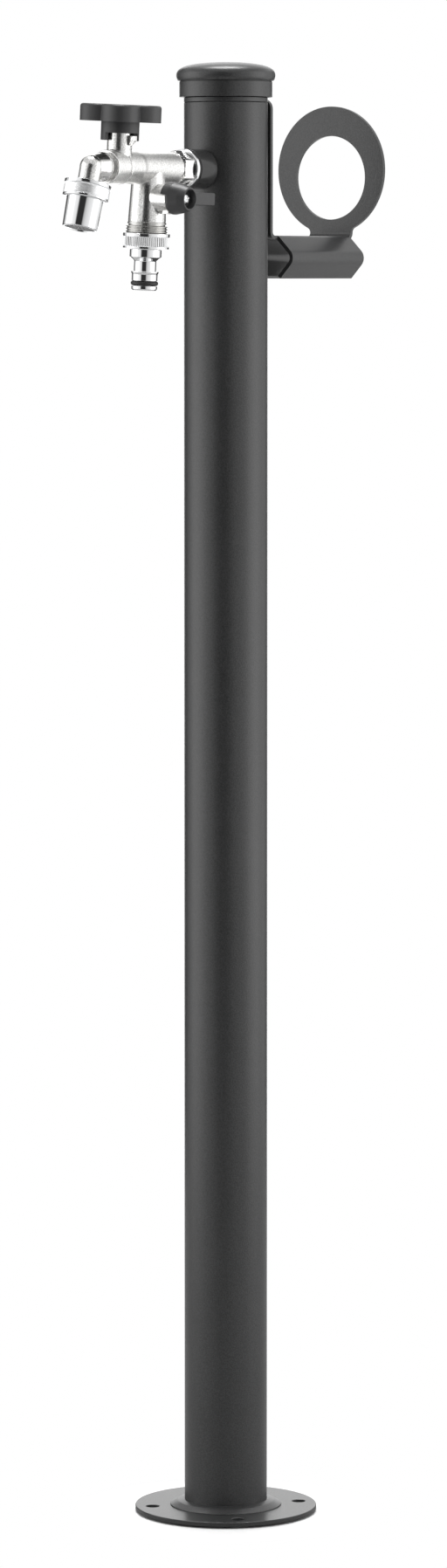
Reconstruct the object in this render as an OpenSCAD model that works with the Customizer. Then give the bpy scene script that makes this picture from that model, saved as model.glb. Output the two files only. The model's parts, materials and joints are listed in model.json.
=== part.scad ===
// Garden water post: a powder coated steel tube on a round foot, with a cast ball tap whose
// barrel carries a second, branched outlet, and a bent sheet holder for a hose at its back.
// Millimetres, +Z up. The origin is the centre of the foot's underside, on the tube's axis.
// The tap points towards -Y, the hose holder towards +Y and the branch valve towards +X.

/* [Post] */
// Outside diameter of the post tube
tube_d = 54; // [48:1:60]
// Wall of the post tube
tube_wall = 2; // [1.5:0.5:3]
// Length of the post tube, from the foot plate to the cap's band
tube_len = 916.5; // [700:0.5:1200]

/* [Foot] */
// Diameter of the foot plate
plate_d = 119; // [106:1:150]
// Thickness of the foot plate
plate_t = 3; // [3:0.5:8]
// Place of the bolt circle, as a share of the way from the cone to the plate's edge
bolt_circle_share = 0.53; // [0.4:0.01:0.6]
// Diameter of a bolt hole in the foot plate
bolt_hole_d = 8.6; // [6:0.1:10]
// Number of bolt holes
bolt_count = 4; // [3:1:6]
// Outside diameter of the welded cone round the tube's foot
cone_d = 73; // [66:1:80]
// Height of the welded cone
cone_h = 4; // [3:0.2:8]

/* [Cap] */
// Height of the band that shows between the tube and the cap
band_h = 3.4; // [2:0.2:8]
// Diameter of the cap's skirt
cap_skirt_d = 60; // [57:0.5:66]
// Height of the cap's skirt
cap_skirt_h = 10.4; // [6:0.2:16]
// Diameter of the cap's rounded rim
cap_rim_d = 64; // [62:0.5:70]
// Height of the cap above its skirt
cap_dome_h = 12.1; // [10:0.1:20]
// Wall of the cap
cap_wall = 2.5; // [2:0.5:4]
// Depth of the plug that the band stands on, inside the tube
insert_depth = 10; // [8:1:12]

/* [Hose holder] */
// Width of the holder's back plate, shelf top and neck
holder_w = 32.4; // [28:0.2:40]
// Thickness of the holder's sheet
sheet_t = 2.5; // [2:0.5:3]
// Distance from the cap's skirt down to the holder's top edge
holder_gap = 0.6; // [0.4:0.2:30]
// Height of the back plate above the shelf
plate_rise = 88; // [70:0.1:120]
// Reach of the shelf from the back plate to the ring
shelf_reach = 89.7; // [70:0.1:120]
// Height of the shelf, over its folded sides
shelf_h = 27.8; // [20:0.1:40]
// Outside diameter of the ring
ring_d = 84; // [76:1:100]
// Diameter of the ring's hole
ring_hole_d = 55; // [40:1:60]
// Radius of the round where the neck widens into the ring
neck_round = 3.4; // [2:0.2:8]
// Distance by which the hole sits lower than the ring's outer circle
hole_drop = 4.9; // [0:0.1:5]

/* [Water inlet] */
// Bore of the threaded inlet in the foot, half inch pipe thread
inlet_bore_d = 18.6; // [18:0.1:20]
// Depth of the threaded inlet
inlet_depth = 16; // [12:1:24]
// Outside diameter of the riser pipe
riser_d = 20; // [16:1:22]
// Wall of the riser pipe
riser_wall = 2; // [1.5:0.5:3]
// Wall of the brass fittings inside the post
fitting_wall = 3; // [2:0.5:4]

/* [Tap] */
// Distance from the tube's top down to the tap's inlet axis
tap_drop = 43.1; // [40:0.1:300]
// Angle by which the tap is screwed in past plumb
tap_turn = 3; // [0:0.5:5]
// Diameter of the black socket between the tube and the tap
socket_d = 25.6; // [24:0.2:30]
// Length of the black socket
socket_len = 17.2; // [14:0.2:24]
// Diameter of the half inch pipe thread
pipe_thread_d = 20.95; // [20:0.05:21]
// Thickness of the chrome rosette
rosette_t = 3.6; // [2:0.2:6]
// Width across the flats of the tap's hexagon
hex_af = 20.6; // [20:0.2:24]
// Length of the tap's hexagon
hex_len = 10.5; // [8:0.5:14]
// Diameter of the tap's barrel
barrel_d = 19.7; // [19:0.1:24]
// Diameter of the ball housing at the barrel's end
housing_d = 21.4; // [21:0.2:26]
// Distance from the hexagon's inner face to the branch
branch_run = 35.1; // [30:0.1:50]
// Distance from the branch to the main valve
valve_run = 32.5; // [30:0.1:50]
// Distance from the main valve to the end of the ball housing
housing_run = 14.1; // [13:0.1:20]
// Diameter of the water passage
passage_d = 12; // [10:0.5:13]

/* [Spout] */
// Diameter of the rim at the spout's root
spout_root_d = 18.6; // [17:0.2:20]
// Diameter of the spout's leg
spout_end_d = 14.3; // [13:0.1:16]
// Length from the housing to the spout's corner
spout_run = 14.6; // [14:0.1:30]
// Length from the spout's corner to the nut
spout_drop = 10.6; // [9:0.1:20]
// Angle between the spout and plumb
spout_tilt = 14; // [0:1:30]
// Diameter of the outlet threads, three quarter inch
outlet_thread_d = 26.44; // [26:0.02:27]
// Diameter of the flanges on the two knurled nuts
nut_d = 30; // [29.5:0.1:34]
// Height of the two knurled nuts
nut_h = 10.8; // [9:0.1:14]
// Diameter of the chrome cup at its top
cup_top_d = 23.6; // [20:0.2:24]
// Diameter of the chrome cup at its mouth
cup_mouth_d = 22.2; // [18:0.2:23]
// Height of the chrome cup below its nut
cup_h = 18.6; // [12:0.2:30]

/* [Branch outlet] */
// Diameter of the branch where it leaves the barrel
branch_top_d = 22.2; // [22:0.2:23]
// Diameter of the branch above its thread
branch_low_d = 24; // [23:0.2:25]
// Depth from the barrel's axis to the branch valve
branch_valve_drop = 18.2; // [18:0.1:22]
// Depth from the barrel's axis to the top of the outlet thread
thread_top_drop = 36; // [34:0.2:42]
// Length of the outlet thread
thread_len = 11; // [10:0.2:14]
// Diameter of the hose plug's body below the nut
plug_body_d = 20.4; // [18:0.2:22]
// Diameter of the hose plug's neck
plug_neck_d = 14.3; // [13:0.1:16]
// Diameter of the hose plug's catch ring
plug_ring_d = 17.8; // [17:0.1:19]
// Diameter of the hose plug's nose
plug_nose_d = 16.6; // [16:0.1:17]
// Water bore of the hose plug
plug_bore_d = 9; // [6:0.5:10]

/* [Valves] */
// Diameter of the two valve balls
ball_d = 16; // [15:0.5:16]
// Bore of the two valve balls
ball_bore_d = 9; // [7:0.5:10]
// Diameter of the two valve stems
stem_d = 8; // [6:0.5:8]
// Diameter of the cast boss round the main stem
boss_d = 15.8; // [14:0.2:16]
// Diameter of the cast collar round the branch stem
collar_d = 17.4; // [15:0.2:17.6]
// Turn of both valves from shut to open
valve_turn = 90; // [60:5:90]

/* [Handwheel] */
// Width of the handwheel over its lobes
wheel_d = 52.6; // [44:0.2:60]
// Height of the handwheel's lobed rim
wheel_h = 10.8; // [8:0.2:14]
// Number of lobes
lobe_count = 5; // [4:1:7]
// Radius of a lobe's round end
lobe_r = 11.6; // [9:0.2:12]
// Diameter of the hub skirt below the rim
hub_d = 24.2; // [23:0.2:28]
// Height of the hub skirt below the rim
hub_h = 11.8; // [10:0.2:16]

/* [Branch handle] */
// Diameter of the branch handle's skirt
knob_d = 20.6; // [20:0.2:24]
// Diameter of the branch handle's outer end
knob_end_d = 14.4; // [13:0.2:18]
// Length of the branch handle
knob_len = 16.7; // [15:0.1:22]
// Length of the lever, from the handle's axis
lever_len = 31.5; // [20:0.5:34]
// Width of the lever
lever_w = 8; // [6:0.2:10]
// Thickness of the lever
lever_t = 6; // [4:0.2:7]

/* [Clearances] */
// Radial clearance of a turning stem or ball
run_fit = 0.05; // [0.02:0.01:0.1]
// Radial clearance of a screwed, pushed in or seated piece
seat_fit = 0.1; // [0.05:0.05:0.2]
// Gap between a handle and the casting that it turns on
handle_gap = 0.4; // [0.3:0.1:0.6]
// Free play of a handle at its stops, in degrees
stop_play = 2; // [1.5:0.5:3]

/* [Hidden] */
$fn = 96;

// Overrun of every cut past the face that it opens
over = plate_t / 3;
// Colours of the finishes
coat = [0.25, 0.255, 0.26];
plastic = [0.17, 0.17, 0.175];
nickel = [0.74, 0.73, 0.70];
chrome = [0.86, 0.87, 0.88];
brass = [0.78, 0.62, 0.32];
rubber = [0.08, 0.08, 0.08];
white_ring = [0.92, 0.92, 0.90];

tube_r = tube_d / 2;
tube_ir = tube_r - tube_wall;
tube_top = plate_t + tube_len;
tap_z = tube_top - tap_drop;
bolt_turn = 180 / bolt_count;
bolt_circle_d = cone_d + (plate_d - cone_d) * bolt_circle_share;

// Points of an arc about c, from angle a0 to a1 in n steps
function arc(c, r, a0, a1, n = 8) = [
    for (i = [0:n]) let (a = a0 + (a1 - a0) * i / n) [c[0] + r * cos(a), c[1] + r * sin(a)]
];
// Unit vector from p to q
function unit(p, q) = (q - p) / norm(q - p);
// Corner p1 between p0 and p2, moved by t to the left of the way that the line runs
function shifted_corner(p0, p1, p2, t) =
    let (
        d = unit(p0, p1),
        e = unit(p1, p2),
        n1 = [-d[1], d[0]],
        n2 = [-e[1], e[0]],
        k = 1 + n1 * n2
    )
    p1 + (n1 + n2) * t / k;
// Round of radius r at corner p1 between p0 and p2, in n steps
function rounded(p0, p1, p2, r, n = 6) =
    let (
        d = unit(p1, p0),
        e = unit(p1, p2),
        half = acos(d * e) / 2,
        c = p1 + (d + e) / norm(d + e) * r / sin(half),
        q = p1 + d * r / tan(half),
        s = cross(d, e) > 0 ? 1 : -1,
        a0 = atan2(q[1] - c[1], q[0] - c[0])
    )
    [
        for (i = [0:n]) let (a = a0 - s * (180 - 2 * half) * i / n)
            [c[0] + r * cos(a), c[1] + r * sin(a)]
    ];
// Zigzag of thread crests from z0 up to z1 at radius r, depth d
function thread_edge(r, d, z0, z1, n) = [
    for (i = [0:n - 1], k = [0:1])
        [k == 0 ? r : r - d, z0 + (z1 - z0) * (i + k / 2 + 1 / 4) / n]
];
// Outline of a straight knurl with n teeth of depth d on radius r
function knurl_outline(r, d, n) = [
    for (i = [0:n - 1], k = [0:3])
        let (a = 360 * (i + k / 4) / n, q = k < 2 ? r : r - d)
        [q * cos(a), q * sin(a)]
];

module ring(r_out, r_in, z0, z1) {
    translate([0, 0, z0])
        difference() {
            cylinder(r = r_out, h = z1 - z0);
            translate([0, 0, -over]) cylinder(r = r_in, h = z1 - z0 + 2 * over);
        }
}
module hex_bar(af, z0, z1) {
    translate([0, 0, z0]) rotate([0, 0, 30]) cylinder(d = af / cos(30), h = z1 - z0, $fn = 6);
}
module rod(r, z0, z1) {
    translate([0, 0, z0]) cylinder(r = r, h = z1 - z0);
}
module torus(r_mid, r_wire, z) {
    translate([0, 0, z]) rotate_extrude() translate([r_mid, 0]) circle(r = r_wire, $fn = 32);
}

// Foot: a drilled disc with a hole for the inlet socket, and the cone welded on it
socket_spigot_r = inlet_bore_d / 2 + fitting_wall * 1.8;
socket_flange_r = socket_spigot_r + fitting_wall;
ground_gap = plate_t / 6;

module base_plate() {
    color(coat)
        difference() {
            cylinder(d = plate_d, h = plate_t);
            translate([0, 0, -over])
                cylinder(r = socket_spigot_r + seat_fit, h = plate_t + 2 * over);
            for (i = [0:bolt_count - 1])
                rotate([0, 0, bolt_turn + 360 * i / bolt_count])
                    translate([bolt_circle_d / 2, 0, -over])
                        cylinder(d = bolt_hole_d, h = plate_t + 2 * over);
        }
}

cone_edge_share = 0.15;

module base_cone() {
    inner = tube_r + seat_fit;
    toe = cone_h * cone_edge_share;
    color(coat)
        translate([0, 0, plate_t])
            rotate_extrude()
                polygon([
                    [inner, 0], [cone_d / 2, 0], [cone_d / 2, toe],
                    [inner + toe, cone_h], [inner, cone_h]
                ]);
}

// Tube, with the outlet hole on its front and the rivet nut holes at its back
outlet_hole_r = pipe_thread_d / 2 + 2 * seat_fit;
rivet_r = sheet_t * 1.8;
rivet_head_r = sheet_t * 2.6;
rivet_head_t = sheet_t * 0.12;
band_top = tube_top + band_h;
holder_top = band_top - holder_gap;
screw_inset_share = 0.28;
screw_z = [
    holder_top - plate_rise * screw_inset_share,
    holder_top - plate_rise * (1 - screw_inset_share)
];

module post_tube() {
    color(coat)
        difference() {
            ring(tube_r, tube_ir, plate_t, tube_top);
            translate([0, 0, tap_z])
                rotate([90, 0, 0]) cylinder(r = outlet_hole_r, h = tube_r + over);
            for (z = screw_z)
                translate([0, 0, z])
                    rotate([-90, 0, 0]) cylinder(r = rivet_r + seat_fit, h = tube_r + over);
        }
}

// Cap: a plug in the tube carries the band, and the cap is pushed over the plug's neck
insert_wall = cap_wall;
neck_r = cap_skirt_d / 2 - cap_wall - seat_fit;
neck_h = cap_skirt_h * 0.7;
neck_step_r = min(neck_r, tube_r - insert_wall);

module cap_insert() {
    color(coat)
        difference() {
            union() {
                rod(tube_ir - seat_fit, tube_top - insert_depth, tube_top);
                rod(tube_r, tube_top, band_top);
                rod(neck_step_r, band_top, band_top + neck_h);
            }
            rod(
                tube_ir - seat_fit - insert_wall,
                tube_top - insert_depth - over,
                band_top + neck_h - insert_wall
            );
        }
}

// Outline of the rim and dome: share of the rim's radius, share of the dome's height
dome_shares = [
    [0.965, 0.02], [0.982, 0.09], [0.994, 0.18], [1.0, 0.31], [0.995, 0.42],
    [0.975, 0.53], [0.94, 0.63], [0.89, 0.71], [0.83, 0.775], [0.76, 0.83],
    [0.68, 0.875], [0.58, 0.915], [0.46, 0.95], [0.32, 0.978], [0.16, 0.995], [0, 1.0]
];

module top_cap() {
    dome_z = band_top + cap_skirt_h;
    skirt_r = cap_skirt_d / 2;
    groove_r = skirt_r - cap_wall * 0.16;
    groove_h = cap_wall * 0.2;
    bore_r = neck_step_r + seat_fit;
    roof_z = dome_z + cap_dome_h * 0.55;
    color(coat)
        rotate_extrude()
            polygon(concat(
                [
                    [bore_r, band_top], [skirt_r, band_top], [skirt_r, dome_z - groove_h],
                    [groove_r, dome_z - groove_h], [groove_r, dome_z]
                ],
                [for (s = dome_shares) [s[0] * cap_rim_d / 2, dome_z + s[1] * cap_dome_h]],
                [[0, roof_z], [bore_r - cap_wall, roof_z], [bore_r, roof_z - cap_wall]]
            ));
}

// Hose holder: one bent sheet with a back plate, a folded shelf and an upright ring
back_in = tube_r + rivet_head_t;
back_out = back_in + sheet_t;
shelf_z = holder_top - plate_rise;
ring_y = back_out + shelf_reach;
bend_r = sheet_t;
plate_round = holder_w * 0.2;
shelf_apex_out = holder_w / 2 + shelf_h * 0.515;
lip_out = holder_w / 2 + sheet_t * 0.7;
fold_round = sheet_t * 2.7;
side_start = back_out + sheet_t * 2.4;
side_end = ring_y - bend_r * 0.6;
neck_x = holder_w / 2;
neck_reach = ring_d / 2 + neck_round;
neck_z = shelf_z + bend_r;
ring_rise = bend_r + sqrt(neck_reach * neck_reach - pow(neck_x + neck_round, 2));
ring_z = shelf_z + ring_rise;
fold_in = neck_x - 2 * sheet_t;

// Side view of the bent strip, (y, z)
function strip_side() = concat(
    [[back_in, holder_top], [back_out, holder_top]],
    arc([back_out + bend_r, shelf_z + bend_r], bend_r, 180, 270),
    arc([ring_y - bend_r, shelf_z + bend_r], bend_r, -90, 0),
    [[ring_y, ring_z - ring_d / 2 + sheet_t], [ring_y + sheet_t, ring_z - ring_d / 2 + sheet_t]],
    arc([ring_y - bend_r, shelf_z + bend_r], bend_r + sheet_t, 0, -90),
    arc([back_out + bend_r, shelf_z + bend_r], bend_r + sheet_t, 270, 180)
);
// Corners of the shelf's folded half, (x, z), from its middle to its lower lip
fold_corners = [
    [0, shelf_z],
    [holder_w / 2, shelf_z],
    [shelf_apex_out, shelf_z - shelf_h * 0.51],
    [lip_out, shelf_z - shelf_h]
];
function fold_outline() =
    let (
        p = fold_corners,
        i1 = shifted_corner(p[0], p[1], p[2], -sheet_t),
        i2 = shifted_corner(p[1], p[2], p[3], -sheet_t),
        lip = unit(p[2], p[3]),
        i0 = [0, shelf_z - sheet_t],
        i3 = p[3] + [lip[1], -lip[0]] * sheet_t
    )
    concat(
        [p[0]],
        rounded(p[0], p[1], p[2], sheet_t * 1.6),
        rounded(p[1], p[2], p[3], fold_round),
        [p[3], i3],
        rounded(i3, i2, i1, fold_round - sheet_t),
        rounded(i2, i1, i0, sheet_t * 0.6),
        [i0]
    );

module shelf_fold() {
    translate([0, side_end, 0])
        rotate([90, 0, 0]) linear_extrude(side_end - side_start) polygon(fold_outline());
}
module ring_outline() {
    fillet_x = neck_x + neck_round;
    touch_share = ring_d / 2 / neck_reach;
    difference() {
        union() {
            translate([0, ring_z]) circle(d = ring_d);
            translate([0, neck_z])
                polygon([
                    [-fillet_x, 0], [fillet_x, 0],
                    [fillet_x * touch_share, (ring_z - neck_z) * (1 - touch_share)],
                    [0, ring_z - neck_z],
                    [-fillet_x * touch_share, (ring_z - neck_z) * (1 - touch_share)]
                ]);
        }
        for (s = [-1, 1]) translate([s * fillet_x, neck_z]) circle(r = neck_round);
        translate([0, ring_z - hole_drop]) circle(d = ring_hole_d);
    }
}

module hose_holder() {
    color(coat)
        difference() {
            union() {
                difference() {
                    translate([-neck_x, 0, 0])
                        rotate([90, 0, 90]) linear_extrude(holder_w) polygon(strip_side());
                    for (s = [0, 1])
                        mirror([s, 0, 0])
                            translate([fold_in, side_start, shelf_z - sheet_t - over])
                                cube([holder_w, side_end - side_start, sheet_t + 2 * over]);
                }
                shelf_fold();
                mirror([1, 0, 0]) shelf_fold();
                translate([0, ring_y + sheet_t, 0])
                    rotate([90, 0, 0]) linear_extrude(sheet_t) ring_outline();
            }
            for (s = [-1, 1])
                translate([s * (holder_w / 2 - plate_round), 0, holder_top - plate_round])
                    rotate([-90, 0, 0])
                        difference() {
                            translate([s > 0 ? 0 : -plate_round - over, -plate_round - over, 0])
                                cube([plate_round + over, plate_round + over, back_out + over]);
                            cylinder(r = plate_round, h = back_out + over);
                        }
            for (z = screw_z)
                translate([0, 0, z])
                    rotate([-90, 0, 0]) cylinder(r = screw_r + 2 * seat_fit, h = back_out + over);
        }
}

// Fasteners of the hose holder
screw_r = sheet_t * 1.2;
screw_head_r = sheet_t * 2.2;
screw_head_t = sheet_t * 1.2;
screw_len = sheet_t * 6;
// Angle at which the round of a button head ends
button_arc = 62;

module button_screw(r, head_r, head_t, len, key_d) {
    rotate_extrude()
        polygon(concat(
            [[0, -len], [r * 0.8, -len], [r, -len + r * 0.4], [r, 0], [head_r, 0]],
            arc([head_r * 0.55, head_t * 0.15], head_r * 0.45, 0, button_arc),
            [[key_d * 0.5, head_t * 0.9], [key_d * 0.5, head_t * 0.25], [0, head_t * 0.25]]
        ));
}
module holder_screws() {
    color(coat)
        for (z = screw_z)
            translate([0, back_out, z])
                rotate([-90, 0, 0])
                    button_screw(screw_r, screw_head_r, screw_head_t, screw_len, screw_r * 1.3);
}
module holder_rivet_nuts() {
    depth = screw_len * 0.75;
    color(brass)
        for (z = screw_z)
            translate([0, 0, z])
                rotate([-90, 0, 0])
                    difference() {
                        union() {
                            rod(rivet_head_r, tube_r, back_in);
                            rod(rivet_r, tube_r - depth, tube_r);
                            rod(rivet_r * 1.25, tube_ir - depth * 0.35, tube_ir - seat_fit * 8);
                        }
                        rod(screw_r + seat_fit, tube_r - depth - over, back_in + over);
                    }
}

// Water way inside the post: inlet socket in the foot, riser pipe, elbow behind the outlet
nut_af = pipe_thread_d * 1.3;
nut_t = socket_len * 0.26;
lock_face = sqrt(tube_ir * tube_ir - nut_af * nut_af / 3) - seat_fit;
riser_seat = riser_d * 0.7;
inlet_web = fitting_wall;
flange_top = plate_t + fitting_wall;
socket_top = ground_gap + inlet_depth + inlet_web + riser_seat;
elbow_r = pipe_thread_d / 2 + fitting_wall;
elbow_drop = elbow_r + riser_seat;
elbow_face = lock_face - nut_t - 4 * seat_fit;
spigot_len = elbow_face * 0.68;
riser_from = socket_top - riser_seat + seat_fit;
riser_to = tap_z - elbow_drop + riser_seat - seat_fit;

module inlet_socket() {
    color(brass)
        difference() {
            union() {
                rod(socket_spigot_r, ground_gap, plate_t);
                rod(socket_flange_r, plate_t, flange_top);
                hex_bar(2 * socket_spigot_r * 0.92, flange_top, flange_top + inlet_depth * 0.6);
                rod(riser_d / 2 + fitting_wall, flange_top, socket_top);
            }
            rod(inlet_bore_d / 2, ground_gap - over, ground_gap + inlet_depth);
            rod(riser_d / 2 - riser_wall, ground_gap, socket_top);
            rod(riser_d / 2 + seat_fit, socket_top - riser_seat, socket_top + over);
        }
}
module riser_pipe() {
    color(white_ring) ring(riser_d / 2, riser_d / 2 - riser_wall, riser_from, riser_to);
}
module riser_elbow() {
    color(brass)
        translate([0, 0, tap_z])
            difference() {
                union() {
                    rod(riser_d / 2 + fitting_wall, -elbow_drop, 0);
                    sphere(r = riser_d / 2 + fitting_wall);
                    rotate([90, 0, 0]) rod(elbow_r, 0, elbow_face);
                }
                rod(riser_d / 2 + seat_fit, -elbow_drop - over, -elbow_drop + riser_seat);
                rod(passage_d / 2, -elbow_drop, 0);
                sphere(d = passage_d);
                rotate([90, 0, 0]) {
                    rod(passage_d / 2, 0, elbow_face);
                    rod(pipe_thread_d / 2 + seat_fit, elbow_face - spigot_len, tube_r);
                }
            }
}

// Outlet through the tube's wall: black socket, lock nut, gasket and rosette
socket_base = tube_r + seat_fit / 2;
socket_end = socket_base + socket_len;
tail_len = socket_len * 0.62;
gasket_t = rosette_t * 0.28;
rosette_from = socket_end + gasket_t;
hex_from = rosette_from + rosette_t;

// Frame of everything that is screwed on along the outlet axis: +Z runs out of the post
module outlet_frame() {
    translate([0, 0, tap_z]) rotate([90, 0, 0]) children();
}

module wall_socket() {
    edge = socket_len * 0.03;
    color(coat)
        outlet_frame()
            difference() {
                union() {
                    rotate_extrude()
                        polygon([
                            [0, socket_base], [socket_d / 2, socket_base],
                            [socket_d / 2, socket_end - edge], [socket_d / 2 - edge, socket_end],
                            [0, socket_end]
                        ]);
                    rod(pipe_thread_d / 2, elbow_face - spigot_len + seat_fit, socket_base);
                }
                rod(passage_d / 2, 0, socket_end + over);
                rod(
                    pipe_thread_d / 2 + seat_fit,
                    socket_end - tail_len - seat_fit,
                    socket_end + over
                );
            }
}
module lock_nut() {
    color(brass)
        outlet_frame()
            difference() {
                hex_bar(nut_af, lock_face - nut_t, lock_face);
                rod(pipe_thread_d / 2 + seat_fit, lock_face - nut_t - over, lock_face + over);
            }
}
module socket_gasket() {
    color(rubber)
        outlet_frame()
            ring(
                socket_d / 2 - gasket_t * 0.4,
                pipe_thread_d / 2 + 2 * seat_fit,
                socket_end,
                rosette_from
            );
}
module rosette() {
    edge = rosette_t * 0.3;
    inner = pipe_thread_d / 2 + 2 * seat_fit;
    color(chrome)
        outlet_frame()
            rotate_extrude()
                polygon(concat(
                    [[inner, rosette_from]],
                    arc([socket_d / 2 - edge, rosette_from + edge], edge, -90, 0),
                    arc([socket_d / 2 - edge, hex_from - edge], edge, 0, 90),
                    [[inner, hex_from]]
                ));
}

// Tap frame: turned past plumb about the outlet axis, which it shares. -Y is outwards.
branch_u = hex_from + branch_run;
valve_u = branch_u + valve_run;
housing_end = valve_u + housing_run;
corner_u = housing_end + spout_run;

module tap_frame() {
    translate([0, 0, tap_z]) rotate([0, tap_turn, 0]) children();
}
module barrel_frame() {
    tap_frame() rotate([90, 0, 0]) children();
}
module main_valve_frame() {
    tap_frame() translate([0, -valve_u, 0]) children();
}
module branch_frame() {
    tap_frame() translate([0, -branch_u, 0]) children();
}
module branch_valve_frame() {
    branch_frame() translate([0, 0, -branch_valve_drop]) rotate([0, 90, 0]) children();
}
// Frame of the spout's leg: its origin is the corner, and -Z runs with the water
module spout_frame() {
    tap_frame() translate([0, -corner_u, 0]) rotate([-spout_tilt, 0, 0]) children();
}

// Valve heights along a stem, from the ball's centre
ball_r = ball_d / 2;
stem_r = stem_d / 2;
cavity_r = ball_r + 3 * seat_fit;
seat_from = ball_r * 0.62;
seat_to = ball_r * 1.15;
stem_foot = ball_r * 0.55;
stem_shoulder = ball_r + stem_d * 0.16;
shoulder_r = stem_r * 1.3;
boss_top = hub_h + ball_r * 1.35;
square_w = stem_d * 0.75;
square_len = stem_d * 1.3;
stop_r = hub_d / 2 - handle_gap / 2;
stop_w = hub_d * 0.21;
stop_h = hub_h * 0.53;
stop_half = asin(stop_w / hub_d);
notch_h = hub_h * 0.4;
collar_top = knob_d * 1.08;
knob_stop_r = knob_d / 2;
knob_notch_h = knob_len * 0.235;
knob_stop_h = knob_len * 0.37;
knob_stop_half = asin(stop_w / hub_d);
hub_from = boss_top + handle_gap - hub_h * 0.53;
knob_from = collar_top + handle_gap - knob_len * 0.37;

// A ball with its bore across the water way when shut, and the slot for its stem
module valve_ball(bore_turn) {
    difference() {
        sphere(r = ball_r);
        rotate([0, 0, bore_turn])
            rotate([90, 0, 0])
                translate([0, 0, -ball_r - over])
                    cylinder(d = ball_bore_d, h = 2 * (ball_r + over));
        translate([-stem_r * 0.45 - seat_fit, -ball_r, stem_foot - seat_fit])
            cube([stem_r * 0.9 + 2 * seat_fit, ball_d, ball_r]);
    }
}
// A stem with its tang, shoulder, groove for a ring, and square with a screw hole
module valve_stem(top, square) {
    groove_z = stem_shoulder + (top - stem_shoulder) * 0.55;
    difference() {
        union() {
            translate([-stem_r * 0.45, -stem_r * 0.9, stem_foot])
                cube([stem_r * 0.9, stem_r * 1.8, stem_shoulder - stem_foot + seat_fit]);
            rod(shoulder_r, cavity_r, stem_shoulder);
            rod(stem_r, stem_shoulder - seat_fit, top + handle_gap / 2);
            translate([-square_w / 2, -square_w / 2, top + handle_gap / 4])
                cube([square_w, square_w, square - handle_gap / 2]);
        }
        translate([0, 0, groove_z - stem_r * 0.22])
            ring(stem_r + over, stem_r * 0.62, 0, stem_r * 0.44);
        rod(screw_hole_r, top + square - square_len * 1.2, top + square + over);
    }
}
module valve_stem_ring(top) {
    groove_z = stem_shoulder + (top - stem_shoulder) * 0.55;
    wire = stem_r * 0.18;
    torus(stem_r - wire, wire, groove_z);
}
// Two seats that hold a ball along +Z and -Z
module valve_seats() {
    for (s = [0, 1])
        mirror([0, 0, s])
            difference() {
                ring(cavity_r - seat_fit, ball_bore_d / 2, seat_from, seat_to);
                sphere(r = ball_r + run_fit);
            }
}
screw_hole_r = stem_d * 0.25;
// Angle at which the dome of a handle's screw starts, and the turn of its cross slot
dome_arc = 42;
slot_turn = 20;

module handle_screw(head_r, head_t, len) {
    slot_w = head_r * 0.28;
    difference() {
        union() {
            rod(screw_hole_r - run_fit, -len, 0);
            rotate_extrude()
                polygon(concat(
                    [[0, 0], [head_r, 0], [head_r, head_t * 0.35]],
                    arc([0, head_t * 0.35 - head_r * 0.9], head_r * 1.345, dome_arc, 90),
                    [[0, 0]]
                ));
        }
        for (a = [0, 90])
            rotate([0, 0, a + slot_turn])
                translate([-head_r * 0.6, -slot_w / 2, head_t * 0.35])
                    cube([head_r * 1.2, slot_w, head_t]);
    }
}

// Tap body: one casting with the hexagon, barrel, ball housing, stem boss and branch
seam_u = valve_u - housing_run * 0.04;
flare_u = branch_u + valve_run * 0.46;
thread_bottom = thread_top_drop + thread_len;
branch_bore_r = cavity_r;
retainer_h = ball_r * 0.5;
relief_h = thread_len * 0.14;
thread_crests = 6;
// The branch's shoulder lies this share of the barrel's diameter below its axis, and its
// crown inside the barrel has this share as its radius
branch_shoulder_share = 0.56;
branch_crown_share = 0.47;
branch_passage_r = passage_d * 0.45;

module barrel_solid() {
    barrel_r = barrel_d / 2;
    housing_r = housing_d / 2;
    nick = barrel_d * 0.02;
    step = housing_d * 0.04;
    rotate_extrude()
        polygon([
            [0, hex_from], [barrel_r, hex_from], [barrel_r, flare_u],
            [barrel_r + nick, flare_u + nick], [housing_r - 2 * nick, seam_u - step],
            [housing_r - 3 * nick, seam_u - nick], [housing_r, seam_u + nick],
            [housing_r, housing_end - step], [housing_r - nick, housing_end], [0, housing_end]
        ]);
}
module hexagon_solid() {
    corner_r = hex_af / 2 / cos(30);
    slope = corner_r - hex_af / 2;
    intersection() {
        hex_bar(hex_af, hex_from, hex_from + hex_len);
        rotate_extrude()
            polygon([
                [0, hex_from], [corner_r, hex_from + slope * 0.5],
                [corner_r, hex_from + hex_len - slope * 0.5],
                [corner_r - slope * 1.6, hex_from + hex_len], [0, hex_from + hex_len]
            ]);
    }
}
module branch_solid() {
    root_r = outlet_thread_d / 2 - relief_h;
    rotate_extrude()
        polygon(concat(
            [
                [0, -thread_bottom],
                [outlet_thread_d / 2 - relief_h / 2, -thread_bottom]
            ],
            thread_edge(
                outlet_thread_d / 2, relief_h * 0.6,
                -thread_bottom + relief_h / 2, -thread_top_drop, thread_crests
            ),
            [
                [root_r, -thread_top_drop], [root_r, -thread_top_drop + relief_h],
                [branch_low_d / 2, -thread_top_drop + relief_h],
                [branch_low_d / 2, -thread_top_drop + 2 * relief_h],
                [branch_top_d / 2, -barrel_d * branch_shoulder_share],
                [barrel_d * branch_crown_share, 0], [0, 0]
            ]
        ));
}
// Stop lug on a boss or collar, along +X, from radius r_in to reach, its top at height top
module stop_lug(r_in, reach, top, height, half) {
    slant = (reach - r_in) * 0.6;
    rotate([0, 0, -half])
        rotate_extrude(angle = 2 * half)
            polygon([
                [r_in, top - height], [reach - slant, top - height],
                [reach, top - height + slant], [reach, top], [r_in, top]
            ]);
}

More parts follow.
